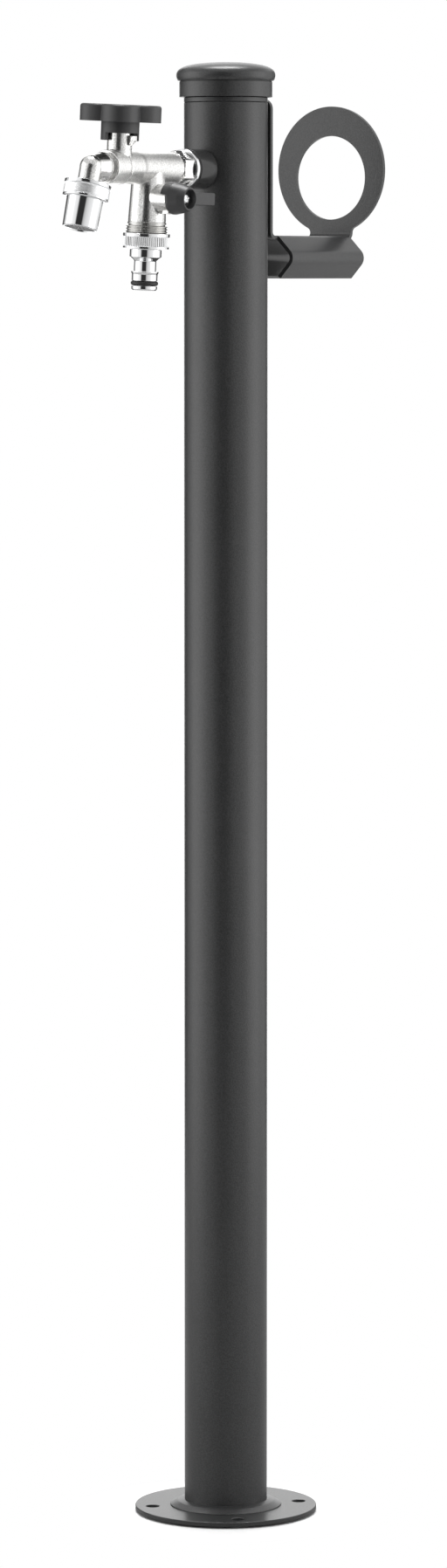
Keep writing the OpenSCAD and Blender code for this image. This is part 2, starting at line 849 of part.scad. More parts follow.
module tap_body() {
    color(nickel)
        difference() {
            union() {
                barrel_frame() {
                    barrel_solid();
                    hexagon_solid();
                    rod(pipe_thread_d / 2, hex_from - rosette_t - gasket_t - tail_len, hex_from);
                }
                main_valve_frame() {
                    rod(boss_d / 2, 0, boss_top);
                    stop_lug(
                        boss_d / 2 - stem_r * 0.25, stop_r, hub_from + notch_h * 0.72, stop_h,
                        stop_half
                    );
                }
                branch_frame() branch_solid();
                branch_valve_frame() {
                    rod(collar_d / 2, 0, collar_top);
                    stop_lug(
                        collar_d / 2 - stem_r * 0.25, knob_stop_r,
                        knob_from + knob_notch_h * 0.35, knob_stop_h, knob_stop_half
                    );
                }
            }
            barrel_frame() {
                rod(passage_d / 2, 0, housing_end + over);
                rod(cavity_r, valve_u - seat_to, housing_end + over);
            }
            main_valve_frame() {
                rod(stem_r + run_fit, 0, boss_top + over);
                rod(shoulder_r + seat_fit, 0, stem_shoulder + seat_fit);
            }
            branch_frame() {
                rod(branch_passage_r, -thread_bottom, 0);
                rod(branch_bore_r, -thread_bottom - over, -branch_valve_drop + seat_to);
            }
            branch_valve_frame() {
                rod(stem_r + run_fit, 0, collar_top + over);
                rod(shoulder_r + seat_fit, 0, stem_shoulder + seat_fit);
            }
        }
}
module main_seats() {
    color(white_ring) main_valve_frame() rotate([90, 0, 0]) valve_seats();
}

// Spout: screwed into the housing, it turns down and flares to the outlet thread
spout_bore_d = spout_end_d * 0.68;
spout_ring_t = housing_run * 0.1;
spigot_in = housing_end - valve_u - seat_to - spout_ring_t;
neck_run = spout_run * 0.22;
rim_t = spout_run * 0.06;
rim_round = spout_root_d * 0.02;
nut_flange_h = nut_h * 0.17;
nut_floor_h = nut_h * 0.18;
spout_thread_h = nut_h * 0.5;
washer_t = nut_h * 0.11;
cup_flange_h = nut_h * 0.13;

// The spout's root: a groove at the housing, a rim, and a cone down to the corner
module spout_root() {
    root_r = spout_root_d / 2;
    groove_r = root_r * 0.9;
    end_r = spout_end_d / 2;
    rim_z = housing_end + neck_run;
    rotate_extrude()
        polygon([
            [0, housing_end], [groove_r, housing_end], [groove_r, rim_z],
            [root_r - rim_round, rim_z], [root_r, rim_z + rim_round],
            [root_r, rim_z + rim_t], [root_r - rim_round, rim_z + rim_t + rim_round],
            [end_r + rim_t, corner_u - spout_run * 0.3], [end_r - rim_round, corner_u],
            [0, corner_u]
        ]);
}
module spout_elbow() {
    end_r = spout_end_d / 2;
    bore_r = spout_bore_d / 2;
    thread_r = outlet_thread_d / 2;
    lip = spout_end_d * 0.03;
    color(nickel)
        difference() {
            union() {
                barrel_frame() {
                    rod(cavity_r - seat_fit, housing_end - spigot_in, housing_end);
                    spout_root();
                }
                spout_frame() {
                    sphere(r = end_r + rim_round);
                    rotate_extrude()
                        polygon([
                            [0, 0], [end_r, 0], [end_r, -spout_drop + lip],
                            [thread_r - lip, -spout_drop - lip],
                            [thread_r, -spout_drop - 2 * lip],
                            [thread_r, -spout_drop - spout_thread_h],
                            [0, -spout_drop - spout_thread_h]
                        ]);
                }
            }
            barrel_frame() rod(bore_r, 0, corner_u);
            spout_frame() {
                sphere(r = bore_r + rim_round);
                rod(bore_r, -spout_drop - spout_thread_h - over, 0);
            }
        }
}
module spout_ring() {
    seat_end = valve_u + seat_to;
    color(rubber)
        barrel_frame() ring(cavity_r - seat_fit, spout_bore_d / 2, seat_end, seat_end + spout_ring_t);
}

// Knurled union nut: threaded bore above, floor with a hole below, top at z 0
module knurled_nut(hole_r, tooth_count) {
    flange_r = nut_d / 2;
    band_r = flange_r * 0.965;
    knurl_d = nut_d * 0.018;
    edge = nut_flange_h * 0.3;
    difference() {
        union() {
            rotate_extrude()
                polygon([
                    [0, 0], [flange_r - edge, 0], [flange_r, -edge],
                    [flange_r, -nut_flange_h + edge], [flange_r - edge, -nut_flange_h],
                    [0, -nut_flange_h]
                ]);
            translate([0, 0, -nut_h + nut_floor_h])
                linear_extrude(nut_h - nut_floor_h - nut_flange_h + seat_fit)
                    polygon(knurl_outline(band_r, knurl_d, tooth_count));
            rotate_extrude()
                polygon([
                    [0, -nut_h + nut_floor_h], [flange_r - 2 * edge, -nut_h + nut_floor_h],
                    [flange_r - edge, -nut_h + nut_floor_h - edge],
                    [flange_r - edge, -nut_h + edge], [flange_r - 2 * edge, -nut_h], [0, -nut_h]
                ]);
        }
        rod(outlet_thread_d / 2 + seat_fit, -nut_h + nut_floor_h, over);
        rod(hole_r + seat_fit, -nut_h - over, over);
    }
}
module spout_gasket() {
    z = -spout_drop - spout_thread_h;
    color(rubber) spout_frame() ring(cup_top_d / 2, spout_bore_d / 2, z - washer_t, z);
}
module spout_nut() {
    color(chrome)
        spout_frame() translate([0, 0, -spout_drop]) knurled_nut(cup_top_d / 2, 60);
}
module spray_cup() {
    wall = cup_top_d * 0.07;
    flange_z = -spout_drop - spout_thread_h - washer_t;
    floor_z = -spout_drop - nut_h + nut_floor_h;
    top_r = cup_top_d / 2;
    mouth_r = cup_mouth_d / 2;
    mouth_z = -spout_drop - nut_h - cup_h;
    lip = wall * 0.4;
    color(chrome)
        spout_frame()
            rotate_extrude()
                polygon([
                    [top_r - wall, flange_z], [outlet_thread_d / 2 - seat_fit, flange_z],
                    [outlet_thread_d / 2 - seat_fit, floor_z], [top_r, floor_z],
                    [mouth_r + lip / 4, mouth_z + lip], [mouth_r - lip, mouth_z],
                    [mouth_r - wall, mouth_z], [mouth_r - wall, mouth_z + 2 * wall],
                    [top_r - wall, floor_z]
                ]);
}
module cup_screen() {
    wall = cup_top_d * 0.07;
    mouth_z = -spout_drop - nut_h - cup_h;
    screen_from = mouth_z + wall * 0.5;
    screen_to = screen_from + wall * 0.9;
    hole_r = cup_mouth_d * 0.028;
    ring_count = 4;
    color(rubber)
        spout_frame()
            difference() {
                rod(cup_mouth_d / 2 - wall - seat_fit, screen_from, screen_to);
                rod(hole_r, mouth_z, screen_to + over);
                for (k = [1:ring_count - 1], i = [0:6 * k - 1])
                    rotate([0, 0, 360 * i / (6 * k)])
                        translate([cup_mouth_d * 0.115 * k, 0, 0])
                            rod(hole_r, mouth_z, screen_to + over);
            }
}

// Branch outlet: seats, retainer, gasket, nut and hose plug
module branch_seats() {
    color(white_ring) branch_frame() translate([0, 0, -branch_valve_drop]) valve_seats();
}
module branch_retainer() {
    z = -branch_valve_drop - seat_to;
    color(brass) branch_frame() ring(branch_bore_r - seat_fit, passage_d / 2, z - retainer_h, z);
}
nut_top_drop = thread_top_drop + thread_len * 0.41;
plug_flange_from = nut_top_drop + nut_h - nut_floor_h;

module plug_gasket() {
    color(rubber)
        branch_frame()
            ring(
                outlet_thread_d / 2 - seat_fit,
                plug_bore_d / 2,
                -plug_flange_from + cup_flange_h,
                -thread_bottom
            );
}
module plug_nut() {
    color(chrome)
        branch_frame() translate([0, 0, -nut_top_drop]) knurled_nut(plug_body_d / 2, 60);
}
// Lengths of the hose plug below its nut
plug_body_h = nut_h * 0.45;
plug_cone_h = nut_h * 0.25;
plug_neck_h = nut_h * 0.59;
plug_catch_h = nut_h * 0.15;
plug_nose_h = nut_h * 0.4;
plug_groove_h = nut_h * 0.31;
plug_tip_h = nut_h * 0.25;
ring_wire_r = plug_groove_h / 2 - seat_fit / 2;
plug_groove_r = plug_nose_d / 2 + ring_wire_r * 0.3 - 2 * ring_wire_r;
z_body = -nut_top_drop - nut_h - plug_body_h;
z_cone = z_body - plug_cone_h;
z_neck = z_cone - plug_neck_h;
z_catch = z_neck - plug_catch_h;
z_nose = z_catch - plug_nose_h;
z_groove = z_nose - plug_groove_h;
z_tip = z_groove - plug_tip_h;

module hose_plug() {
    edge = plug_tip_h * 0.3;
    body_r = plug_body_d / 2;
    neck_r = plug_neck_d / 2;
    catch_r = plug_ring_d / 2;
    nose_r = plug_nose_d / 2;
    color(chrome)
        branch_frame()
            rotate_extrude()
                polygon([
                    [plug_bore_d / 2, -plug_flange_from + cup_flange_h],
                    [outlet_thread_d / 2 - seat_fit, -plug_flange_from + cup_flange_h],
                    [outlet_thread_d / 2 - seat_fit, -plug_flange_from],
                    [body_r, -plug_flange_from], [body_r, z_body], [neck_r, z_cone],
                    [neck_r, z_neck], [catch_r - edge, z_neck], [catch_r, z_neck - edge],
                    [nose_r, z_catch], [nose_r, z_nose], [plug_groove_r, z_nose],
                    [plug_groove_r, z_groove], [nose_r, z_groove], [nose_r, z_tip + 2 * edge],
                    [nose_r - edge, z_tip], [plug_bore_d / 2, z_tip]
                ]);
}
module plug_ring() {
    color(rubber)
        branch_frame()
            torus(plug_groove_r + ring_wire_r, ring_wire_r - seat_fit / 4, (z_nose + z_groove) / 2);
}

// Handwheel: moulded, hollow below, on the stem's square and held by a screw
wheel_from = hub_from + hub_h;
wheel_top = wheel_from + wheel_h;
lobe_mid = wheel_d / 2 - lobe_r;
valley_r = wheel_d * 0.37;
valley_round = lobe_r * 0.42;
wheel_wall = lobe_r * 0.2;
web_t = wheel_h * 0.3;
hub_in_r = hub_d / 2 * 0.79;
head_r = stem_d * 0.45;
head_t = stem_d * 0.33;
head_seat_z = wheel_top - web_t;

// Radius of the lobed rim at angle a, drawn in by inset
function lobe_radius(a, inset) =
    let (
        step = 360 / lobe_count,
        off = abs(a - step * round(a / step)),
        r = lobe_r - inset,
        s = lobe_mid * sin(off),
        tip = s < r ? lobe_mid * cos(off) + sqrt(r * r - s * s) : 0,
        low = valley_r - inset,
        k = valley_round,
        h = max(k - abs(tip - low), 0) / k
    )
    max(tip, low) + h * h * k / 4;
function wheel_outline(inset) = [
    for (i = [0:143])
        let (a = 360 * i / 144, r = lobe_radius(a, inset))
        [r * cos(a + 90), r * sin(a + 90)]
];

// Notch in a handle's skirt, which the stop lug moves in
module stop_notch(r_out, depth, half) {
    turn = valve_turn + 2 * (half + stop_play);
    rotate([0, 0, half + stop_play - turn])
        translate([0, 0, -over])
            rotate_extrude(angle = turn) square([r_out + over, depth + over]);
}

// Layers that round the rim's top edge: share of the edge inwards, share of it down
wheel_layer_shares = [[0, 1], [0.3, 0.55], [1, 0]];

module handwheel() {
    edge = wheel_h * 0.09;
    socket_w = square_w + 2 * seat_fit;
    color(plastic)
        main_valve_frame()
            difference() {
                union() {
                    for (s = wheel_layer_shares)
                        translate([0, 0, wheel_from])
                            linear_extrude(wheel_h - 2 * edge * s[1])
                                polygon(wheel_outline(edge * s[0]));
                    rod(hub_d / 2, hub_from, wheel_top - edge);
                }
                difference() {
                    translate([0, 0, wheel_from - over])
                        linear_extrude(wheel_h - web_t + over) polygon(wheel_outline(wheel_wall));
                    rod(hub_d / 2, wheel_from - 2 * over, wheel_top);
                    for (i = [0:lobe_count - 1])
                        rotate([0, 0, 90 + 360 * i / lobe_count])
                            translate([0, -wheel_wall / 2, wheel_from])
                                cube([wheel_d / 2, wheel_wall, wheel_h]);
                }
                rod(hub_in_r, hub_from - over, boss_top + handle_gap);
                translate([0, 0, hub_from]) stop_notch(hub_d / 2, notch_h, stop_half);
                translate([-socket_w / 2, -socket_w / 2, boss_top])
                    cube([socket_w, socket_w, square_len + handle_gap + seat_fit]);
                rod(screw_hole_r + 2 * seat_fit, boss_top, wheel_top);
                rod(head_r + 2 * seat_fit, head_seat_z, wheel_top + over);
            }
}
module main_stem() {
    color(brass) main_valve_frame() valve_stem(boss_top, square_len);
}
module main_ball() {
    color(chrome) main_valve_frame() valve_ball(90);
}
module main_stem_ring() {
    color(rubber) main_valve_frame() valve_stem_ring(boss_top);
}
module handwheel_screw() {
    color(chrome)
        main_valve_frame()
            translate([0, 0, head_seat_z])
                handle_screw(head_r, head_t, head_seat_z - boss_top - square_len * 0.2);
}

// Branch handle: a tapered knob with a flat lever towards the post
knob_to = knob_from + knob_len;
knob_rim = knob_end_d * 0.09;
knob_recess = knob_len * 0.27;
knob_square = knob_to - knob_recess - collar_top - knob_rim;
knob_seat_z = knob_to - knob_recess;
lever_face = knob_to - knob_len * 0.1;
lever_tip = lever_len * 0.26;
// Outline of the knob: share of its length, share of the way in from skirt to end
knob_shares = [
    [0, 0], [0.3, 0.02], [0.5, 0.16], [0.7, 0.42], [0.86, 0.7], [0.95, 0.9], [1, 1]
];

module lever_bar() {
    taper = lever_t * 0.25;
    round_r = lever_w * 0.14;
    intersection() {
        translate([-lever_w / 2, 0, 0])
            rotate([90, 0, 90])
                linear_extrude(lever_w)
                    polygon([
                        [0, lever_face - lever_t], [lever_len - lever_tip, lever_face - lever_t],
                        [lever_len, lever_face - lever_t + taper], [lever_len, lever_face - taper],
                        [lever_len - lever_tip, lever_face], [0, lever_face]
                    ]);
        translate([0, 0, lever_face - lever_t])
            linear_extrude(lever_t)
                polygon(concat(
                    [[-lever_w / 2, 0], [lever_w / 2, 0]],
                    arc([lever_w / 2 - round_r, lever_len - round_r], round_r, 0, 90),
                    arc([-lever_w / 2 + round_r, lever_len - round_r], round_r, 90, 180)
                ));
    }
}
module branch_handle() {
    socket_w = square_w + 2 * seat_fit;
    outer = [
        for (s = knob_shares)
            [(knob_d - (knob_d - knob_end_d) * s[1]) / 2, knob_from + knob_len * s[0]]
    ];
    color(plastic)
        branch_valve_frame()
            difference() {
                union() {
                    rotate_extrude() polygon(concat([[0, knob_from]], outer, [[0, knob_to]]));
                    lever_bar();
                }
                rod(collar_d / 2 + handle_gap, knob_from - over, collar_top + handle_gap);
                translate([0, 0, knob_from]) stop_notch(knob_d / 2, knob_notch_h, knob_stop_half);
                translate([-socket_w / 2, -socket_w / 2, collar_top])
                    cube([socket_w, socket_w, knob_square + seat_fit]);
                rod(screw_hole_r + 2 * seat_fit, collar_top, knob_to);
                rod(knob_end_d / 2 - knob_rim, knob_seat_z, knob_to + over);
            }
}
module branch_stem() {
    color(brass) branch_valve_frame() valve_stem(collar_top, knob_square);
}
module branch_ball() {
    color(chrome) branch_valve_frame() valve_ball(0);
}
module branch_stem_ring() {
    color(rubber) branch_valve_frame() valve_stem_ring(collar_top);
}
module branch_screw() {
    color(chrome)
        branch_valve_frame()
            translate([0, 0, knob_seat_z])
                handle_screw(head_r, head_t, knob_seat_z - collar_top);
}

base_plate();
base_cone();
post_tube();
cap_insert();
top_cap();
hose_holder();
holder_screws();
holder_rivet_nuts();
inlet_socket();
riser_pipe();
riser_elbow();
wall_socket();
lock_nut();
socket_gasket();
rosette();
tap_body();
main_seats();
spout_elbow();
spout_ring();
spout_gasket();
spout_nut();
spray_cup();
cup_screen();
branch_seats();
branch_retainer();
plug_gasket();
plug_nut();
hose_plug();
plug_ring();
handwheel();
main_stem();
main_ball();
main_stem_ring();
handwheel_screw();
branch_handle();
branch_stem();
branch_ball();
branch_stem_ring();
branch_screw();
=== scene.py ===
import json
import math

import bmesh
import bpy
import numpy as np
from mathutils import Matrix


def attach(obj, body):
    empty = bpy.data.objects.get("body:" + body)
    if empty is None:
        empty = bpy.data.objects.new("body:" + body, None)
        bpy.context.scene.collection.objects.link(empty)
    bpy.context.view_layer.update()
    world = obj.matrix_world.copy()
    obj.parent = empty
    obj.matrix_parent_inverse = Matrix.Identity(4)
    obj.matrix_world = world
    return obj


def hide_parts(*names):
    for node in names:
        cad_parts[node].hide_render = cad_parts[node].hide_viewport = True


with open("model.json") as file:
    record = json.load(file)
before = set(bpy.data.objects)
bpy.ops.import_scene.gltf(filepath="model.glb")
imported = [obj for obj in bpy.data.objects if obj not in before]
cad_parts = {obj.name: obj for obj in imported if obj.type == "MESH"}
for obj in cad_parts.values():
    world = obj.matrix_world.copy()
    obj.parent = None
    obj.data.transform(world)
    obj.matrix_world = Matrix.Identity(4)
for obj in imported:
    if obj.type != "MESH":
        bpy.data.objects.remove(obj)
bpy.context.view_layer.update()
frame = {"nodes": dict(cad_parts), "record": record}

# Camera
# A long lens a little below the tap, 3.8 m from the post and tilted down to its middle, with
# the tap on its left and the hose holder on its right. The frame is 512 x 1796 pixels.
VIEW_TURN = 35.401
VIEW_DIP = 5.034
AIM_TURN = 0.0225
camera = bpy.data.objects.new("camera", bpy.data.cameras.new("camera"))
bpy.context.scene.collection.objects.link(camera)
camera.data.sensor_fit = "AUTO"
camera.data.sensor_width = 36.0
camera.data.lens = 133.573
camera.data.clip_end = 60.0
camera.location = (2.18670, -3.07692, 0.81106)
camera.rotation_euler = (
    math.radians(90.0 - VIEW_DIP),
    0.0,
    math.radians(VIEW_TURN + AIM_TURN),
)
bpy.context.scene.camera = camera
bpy.context.scene.view_settings.view_transform = "Standard"


# Studio
# White screens stand left and right of the post and a low one behind it, with a black flag in
# front, dark gaps behind the screens and a soft lamp above. Metal shows them all, while the
# camera itself sees plain white.
class Wire:
    """A shader socket on which Python's operators add Math nodes."""

    def __init__(self, tree, socket):
        self.tree = tree
        self.socket = socket

    def node(self, kind, settings=None, out=0, **inputs):
        """Adds a node of that kind: its settings first, then values or wires by socket name."""
        n = self.tree.nodes.new("ShaderNode" + kind)
        for key, value in (settings or {}).items():
            if key == "stops":
                ramp = n.color_ramp
                while len(ramp.elements) < len(value):
                    ramp.elements.new(0.5)
                for element, (place, shade) in zip(ramp.elements, value):
                    element.position = place
                    element.color = (shade, shade, shade, 1.0)
            else:
                setattr(n, key, value)
        for key, value in inputs.items():
            socket = n.inputs[int(key[1:]) if key[0] == "_" else key.replace("_", " ")]
            if isinstance(value, Wire):
                self.tree.links.new(value.socket, socket)
            else:
                socket.default_value = value
        return Wire(self.tree, n.outputs[out])

    def other(self, out):
        """Another output of the same node."""
        return Wire(self.tree, self.socket.node.outputs[out])

    def math(self, operation, a, b=0.0):
        """One Math node on two values or wires."""
        return self.node("Math", {"operation": operation}, _0=a, _1=b)

    def __add__(self, other):
        return self.math("ADD", self, other)

    def __radd__(self, other):
        return self.math("ADD", other, self)

    def __sub__(self, other):
        return self.math("SUBTRACT", self, other)

    def __rsub__(self, other):
        return self.math("SUBTRACT", other, self)

    def __mul__(self, other):
        return self.math("MULTIPLY", self, other)

    def __rmul__(self, other):
        return self.math("MULTIPLY", other, self)

    def __truediv__(self, other):
        return self.math("DIVIDE", self, other)

    def clip(self, low, high):
        """The value's place between low and high, from 0 to 1, with soft ends."""
        return self.node(
            "MapRange", {"interpolation_type": "SMOOTHSTEP"}, _0=self, _1=low, _2=high
        )

    def mix(self, a, b):
        """Colour a where this is 0 and colour b where it is 1."""
        a, b = (c if isinstance(c, (Wire, tuple)) else (c, c, c, 1.0) for c in (a, b))
        return self.node("Mix", {"data_type": "RGBA"}, out=2, _0=self, _6=a, _7=b)


SCREEN_LEVEL = 1.9
BELOW_LEVEL = 0.32
ABOVE_LEVEL = 0.72
GAP_END_LEVEL = 1.15
LAMP_LEVEL = 14.0
LAMP_WAY = (-0.259, 0.0, 0.966)
world = bpy.data.worlds.new("studio")
bpy.context.scene.world = world
world.use_nodes = True
world.node_tree.nodes.clear()
sky = Wire(world.node_tree, None)
turned_way = sky.node(
    "VectorRotate",
    {"rotation_type": "Z_AXIS"},
    Vector=sky.node("TexCoord"),
    Angle=math.radians(90.0 - VIEW_TURN),
)
way_x = sky.node("SeparateXYZ", Vector=turned_way)
way_y = way_x.other(1)
way_z = way_x.other(2)
# 0.5 is the way from the post towards the camera, and higher shares lie to the camera's right
round_share = sky.math("ARCTAN2", way_y, way_x) / (2 * math.pi) + 0.5
# Each stop is a share of the way round and the level of the wall there
walls = sky.node(
    "ValToRGB",
    {
        "stops": [
            (0.000, 0.88), (0.032, 0.88), (0.050, 0.05), (0.132, 0.05), (0.144, 0.28),
            (0.190, 0.40), (0.210, 0.95), (0.300, 1.00), (0.340, 0.52), (0.400, 0.42),
            (0.425, 0.015), (0.525, 0.015), (0.545, 0.26), (0.585, 0.38), (0.655, 0.48),
            (0.700, 1.00), (0.775, 1.00), (0.805, 0.52), (0.885, 0.36), (0.905, 0.06),
            (0.952, 0.06), (0.968, 0.88), (1.000, 0.88),
        ]
    },
    Fac=round_share,
)
screens = sky.node(
    "Mix",
    {"data_type": "RGBA", "blend_type": "MULTIPLY"},
    out=2,
    _0=1.0,
    _6=walls,
    _7=(SCREEN_LEVEL, SCREEN_LEVEL, SCREEN_LEVEL, 1.0),
)
# The dark gap behind the right screen ends above and below it
gap_ends = (way_z * way_z).clip(0.07, 0.13) * round_share.clip(0.85, 0.88)
room = gap_ends.mix(screens, GAP_END_LEVEL)
room = way_z.clip(-0.53, -0.48).mix(BELOW_LEVEL, room)
room = way_z.clip(0.50, 0.54).mix(room, ABOVE_LEVEL)
lamp_share = sky.node(
    "VectorMath", {"operation": "DOT_PRODUCT"}, out=1, _0=turned_way, _1=LAMP_WAY
)
room = lamp_share.clip(0.955, 0.985).mix(room, LAMP_LEVEL)
seen = sky.node("Background", Color=(1.0, 1.0, 1.0, 1.0), Strength=1.0)
lit = sky.node("Background", Color=room, Strength=1.0)
both = sky.node("MixShader", _0=sky.node("LightPath"), _1=lit, _2=seen)
end = world.node_tree.nodes.new("ShaderNodeOutputWorld")
world.node_tree.links.new(both.socket, end.inputs["Surface"])


# Floor
# Pale paper under the post, which takes its shadow near the foot. Further out the camera sees
# plain white, and the metal sees a dim studio floor. It lies a little under the plate.
FLOOR_R = 1.5
FLOOR_Z = -0.0012
FLOOR_DIM = 0.32
FADE_FROM = 0.066
FADE_TO = 0.100


def material(name, paint):
    """A new material. paint gets a wire to build with and the object's own coordinates, and
    returns the shader."""
    made = bpy.data.materials.new(name)
    made.use_nodes = True
    tree = made.node_tree
    tree.nodes.clear()
    wire = Wire(tree, None)
    place = wire.node("TexCoord", out=3)
    end = tree.nodes.new("ShaderNodeOutputMaterial")
    tree.links.new(paint(wire, place).socket, end.inputs["Surface"])
    return made


def circle(count):
    """The angles of count points spread evenly round a circle."""
    return np.linspace(0, 2 * np.pi, count, endpoint=False)


def pale_paper(wire, place):
    """Paper with a fine grain, which fades to white for the camera away from the foot."""
    far = wire.node("VectorMath", {"operation": "LENGTH"}, out=1, _0=place)
    grain = wire.node("TexNoise", Vector=place, Scale=240.0, Detail=3.0)
    paper = wire.node(
        "BsdfPrincipled",
        Base_Color=wire.node("LightPath").mix(FLOOR_DIM, grain.mix(0.90, 0.94)),
        Roughness=0.8,
        Specular_IOR_Level=0.0,
    )
    glow = wire.node("Emission", Color=(1.0, 1.0, 1.0, 1.0), Strength=1.0)
    faded = far.clip(FADE_FROM, FADE_TO) * wire.node("LightPath")
    return wire.node("MixShader", _0=faded, _1=paper, _2=glow)


a = circle(96)
floor = bpy.data.objects.new("floor", bpy.data.meshes.new("floor"))
floor.data.from_pydata(
    np.stack([FLOOR_R * np.cos(a), FLOOR_R * np.sin(a), FLOOR_Z + 0 * a], 1).tolist(),
    [],
    [list(range(len(a)))],
)
bpy.context.scene.collection.objects.link(floor)
floor.data.materials.append(material("pale_paper", pale_paper))


# Foot plate
# A laser cut disc of 3 mm steel with four bolt holes, under the anthracite powder coat of all
# the post's steel. Its edges are broken and then softened by the coat.
slot_of = {s["node"]: s["material_slot"] for s in frame["record"]["subparts"]}
body_of = {
    n: body for body, members in frame["record"]["behaviour"]["bodies"].items() for n in members
}


def grown(wire, place, size, detail=2.0):
    """Soft noise whose lumps are about size metres wide."""
    return wire.node("TexNoise", Vector=place, Scale=1.0 / size, Detail=detail, Roughness=0.6)


def bumped(wire, height, reach, strength):
    """A normal from a height of 0 to 1 that stands for reach metres."""
    return wire.node("Bump", Strength=strength, Distance=reach, Height=height)


def powder_coat(wire, place):
    """Fine grained anthracite powder coat: pin head lumps with a satin skin."""
    grain = grown(wire, place, 0.0008, 3.0)
    cloud = grown(wire, place, 0.05)
    shade = (grain * 0.85 + cloud * 0.15).clip(0.36, 0.64)
    return wire.node(
        "BsdfPrincipled",
        Base_Color=shade.mix((0.024, 0.0245, 0.025, 1.0), (0.048, 0.0485, 0.049, 1.0)),
        Roughness=0.28 + 0.08 * grain,
        Specular_IOR_Level=0.66,
        Normal=bumped(wire, grain, 0.00013, 0.7),
    )


def placed(made, node, finish=None):
    """Links a new piece, lets light run evenly over its flats and rounds, and puts it in its
    node's place."""
    made.data.materials.append(finish or finish_of[slot_of[node]])
    even = made.modifiers.new("even_light", "WEIGHTED_NORMAL")
    even.keep_sharp = True
    bpy.context.scene.collection.objects.link(made)
    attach(made, body_of[node])
    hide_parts(node)
    return made


def broken_copy(node, broken, finish=None):
    """A copy of a node's solid with its corners joined, smooth between sharp edges, which are
    broken by that many metres."""
    sharp = math.radians(32.0)
    made = bpy.data.objects.new(node + "_skin", bpy.data.meshes.new(node + "_skin"))
    b = bmesh.new()
    b.from_mesh(frame["nodes"][node].data)
    bmesh.ops.remove_doubles(b, verts=b.verts, dist=2e-6)
    bmesh.ops.dissolve_degenerate(b, edges=b.edges, dist=1e-6)
    if broken:
        bmesh.ops.dissolve_limit(
            b, angle_limit=math.radians(0.5), verts=b.verts, edges=b.edges
        )
    b.to_mesh(made.data)
    b.free()
    made.data.shade_smooth()
    made.data.set_sharp_from_angle(angle=sharp)
    if broken:
        bevel = made.modifiers.new("broken_edges", "BEVEL")
        bevel.width = broken
        bevel.segments = 2
        bevel.limit_method = "ANGLE"
        bevel.angle_limit = sharp
    return placed(made, node, finish)


finish_of = {"coat": material("powder_coat", powder_coat)}
broken_copy("base_plate", 0.0004)


# Welded cone
# A shallow steel cone round the tube's foot, welded to the plate and ground smooth, under the
# same coat. It is turned, and its toe runs out in a soft round.
MM = 0.001
PLATE_T = 3
TUBE_R = 27
STAND = np.eye(4)


def rounded(corners, steps=6):
    """Points along (r, z, round) corners. A round of radius q on a corner whose sides enclose
    2h has its centre q / sin(h) along the bisector, and sweeps 180 - 2h between the sides."""
    points = np.array([c[:2] for c in corners], float)
    line = []
    for i, corner in enumerate(corners):
        if len(corner) < 3:
            line.append(points[i : i + 1])
            continue
        a = points[i - 1] - points[i]
        b = points[(i + 1) % len(corners)] - points[i]
        a, b = a / np.linalg.norm(a), b / np.linalg.norm(b)
        half = np.arccos(np.clip(a @ b, -1, 1)) / 2
        middle = (a + b) / np.linalg.norm(a + b) * corner[2] / np.sin(half)
        start = a * corner[2] / np.tan(half) - middle
        stop = b * corner[2] / np.tan(half) - middle
        sweep = np.pi - 2 * half
        t = np.linspace(0, 1, steps)[:, None] * sweep
        arc = (np.sin(sweep - t) * start + np.sin(t) * stop) / np.sin(sweep)
        line.append(points[i] + middle + arc)
    return np.concatenate(line)


def lathe(line, columns=96):
    """Grid of a turned surface: row i, column j is (r_i cos a_j, r_i sin a_j, z_i)."""
    a = circle(columns)
    r, z = line[:, :1], line[:, 1:]
    return np.stack([r * np.cos(a), r * np.sin(a), z + 0 * a], -1)


def skin(name, grid, place, node, finish=None, sharp=40.0):
    """A closed mesh over a grid of points in millimetres. Columns wrap round. Rows wrap too,
    unless the first and last ones are single points."""
    index = np.arange(grid.shape[0] * grid.shape[1]).reshape(grid.shape[:2])
    ends = [i for i in (0, -1) if np.ptp(grid[i], axis=0).max() < 1e-6]
    for i in ends:
        index[i] = index[i, 0]
    low, high = (index[:-1], index[1:]) if ends else (index, np.roll(index, -1, 0))
    quads = np.stack([low, np.roll(low, -1, 1), np.roll(high, -1, 1), high], -1).reshape(-1, 4)
    used, quads = np.unique(quads, return_inverse=True)
    quads = quads.reshape(-1, 4)
    foot, peak = quads[:, 0] == quads[:, 1], quads[:, 2] == quads[:, 3]
    faces = quads[~foot & ~peak].tolist()
    faces += quads[foot][:, [0, 2, 3]].tolist() + quads[peak & ~foot][:, :3].tolist()
    points = grid.reshape(-1, 3)[used] @ place[:3, :3].T + place[:3, 3]
    made = bpy.data.objects.new(name, bpy.data.meshes.new(name))
    made.data.from_pydata((points * MM).tolist(), [], faces)
    made.data.shade_smooth()
    made.data.set_sharp_from_angle(angle=math.radians(sharp))
    return placed(made, node, finish)


def turned(name, corners, place, node, finish=None, columns=96, steps=6):
    """A turned piece: the rounded line along its corners, carried round Z."""
    return skin(name, lathe(rounded(corners, steps), columns), place, node, finish)


turned(
    "base_cone_skin",
    [
        (TUBE_R + 0.05, PLATE_T), (36.5, PLATE_T), (36.5, 3.6, 0.4), (31.5, 6.0, 6.0),
        (27.9, 7.0, 0.8), (TUBE_R + 0.05, 7.0),
    ],
    STAND,
    "base_cone",
    columns=128,
)


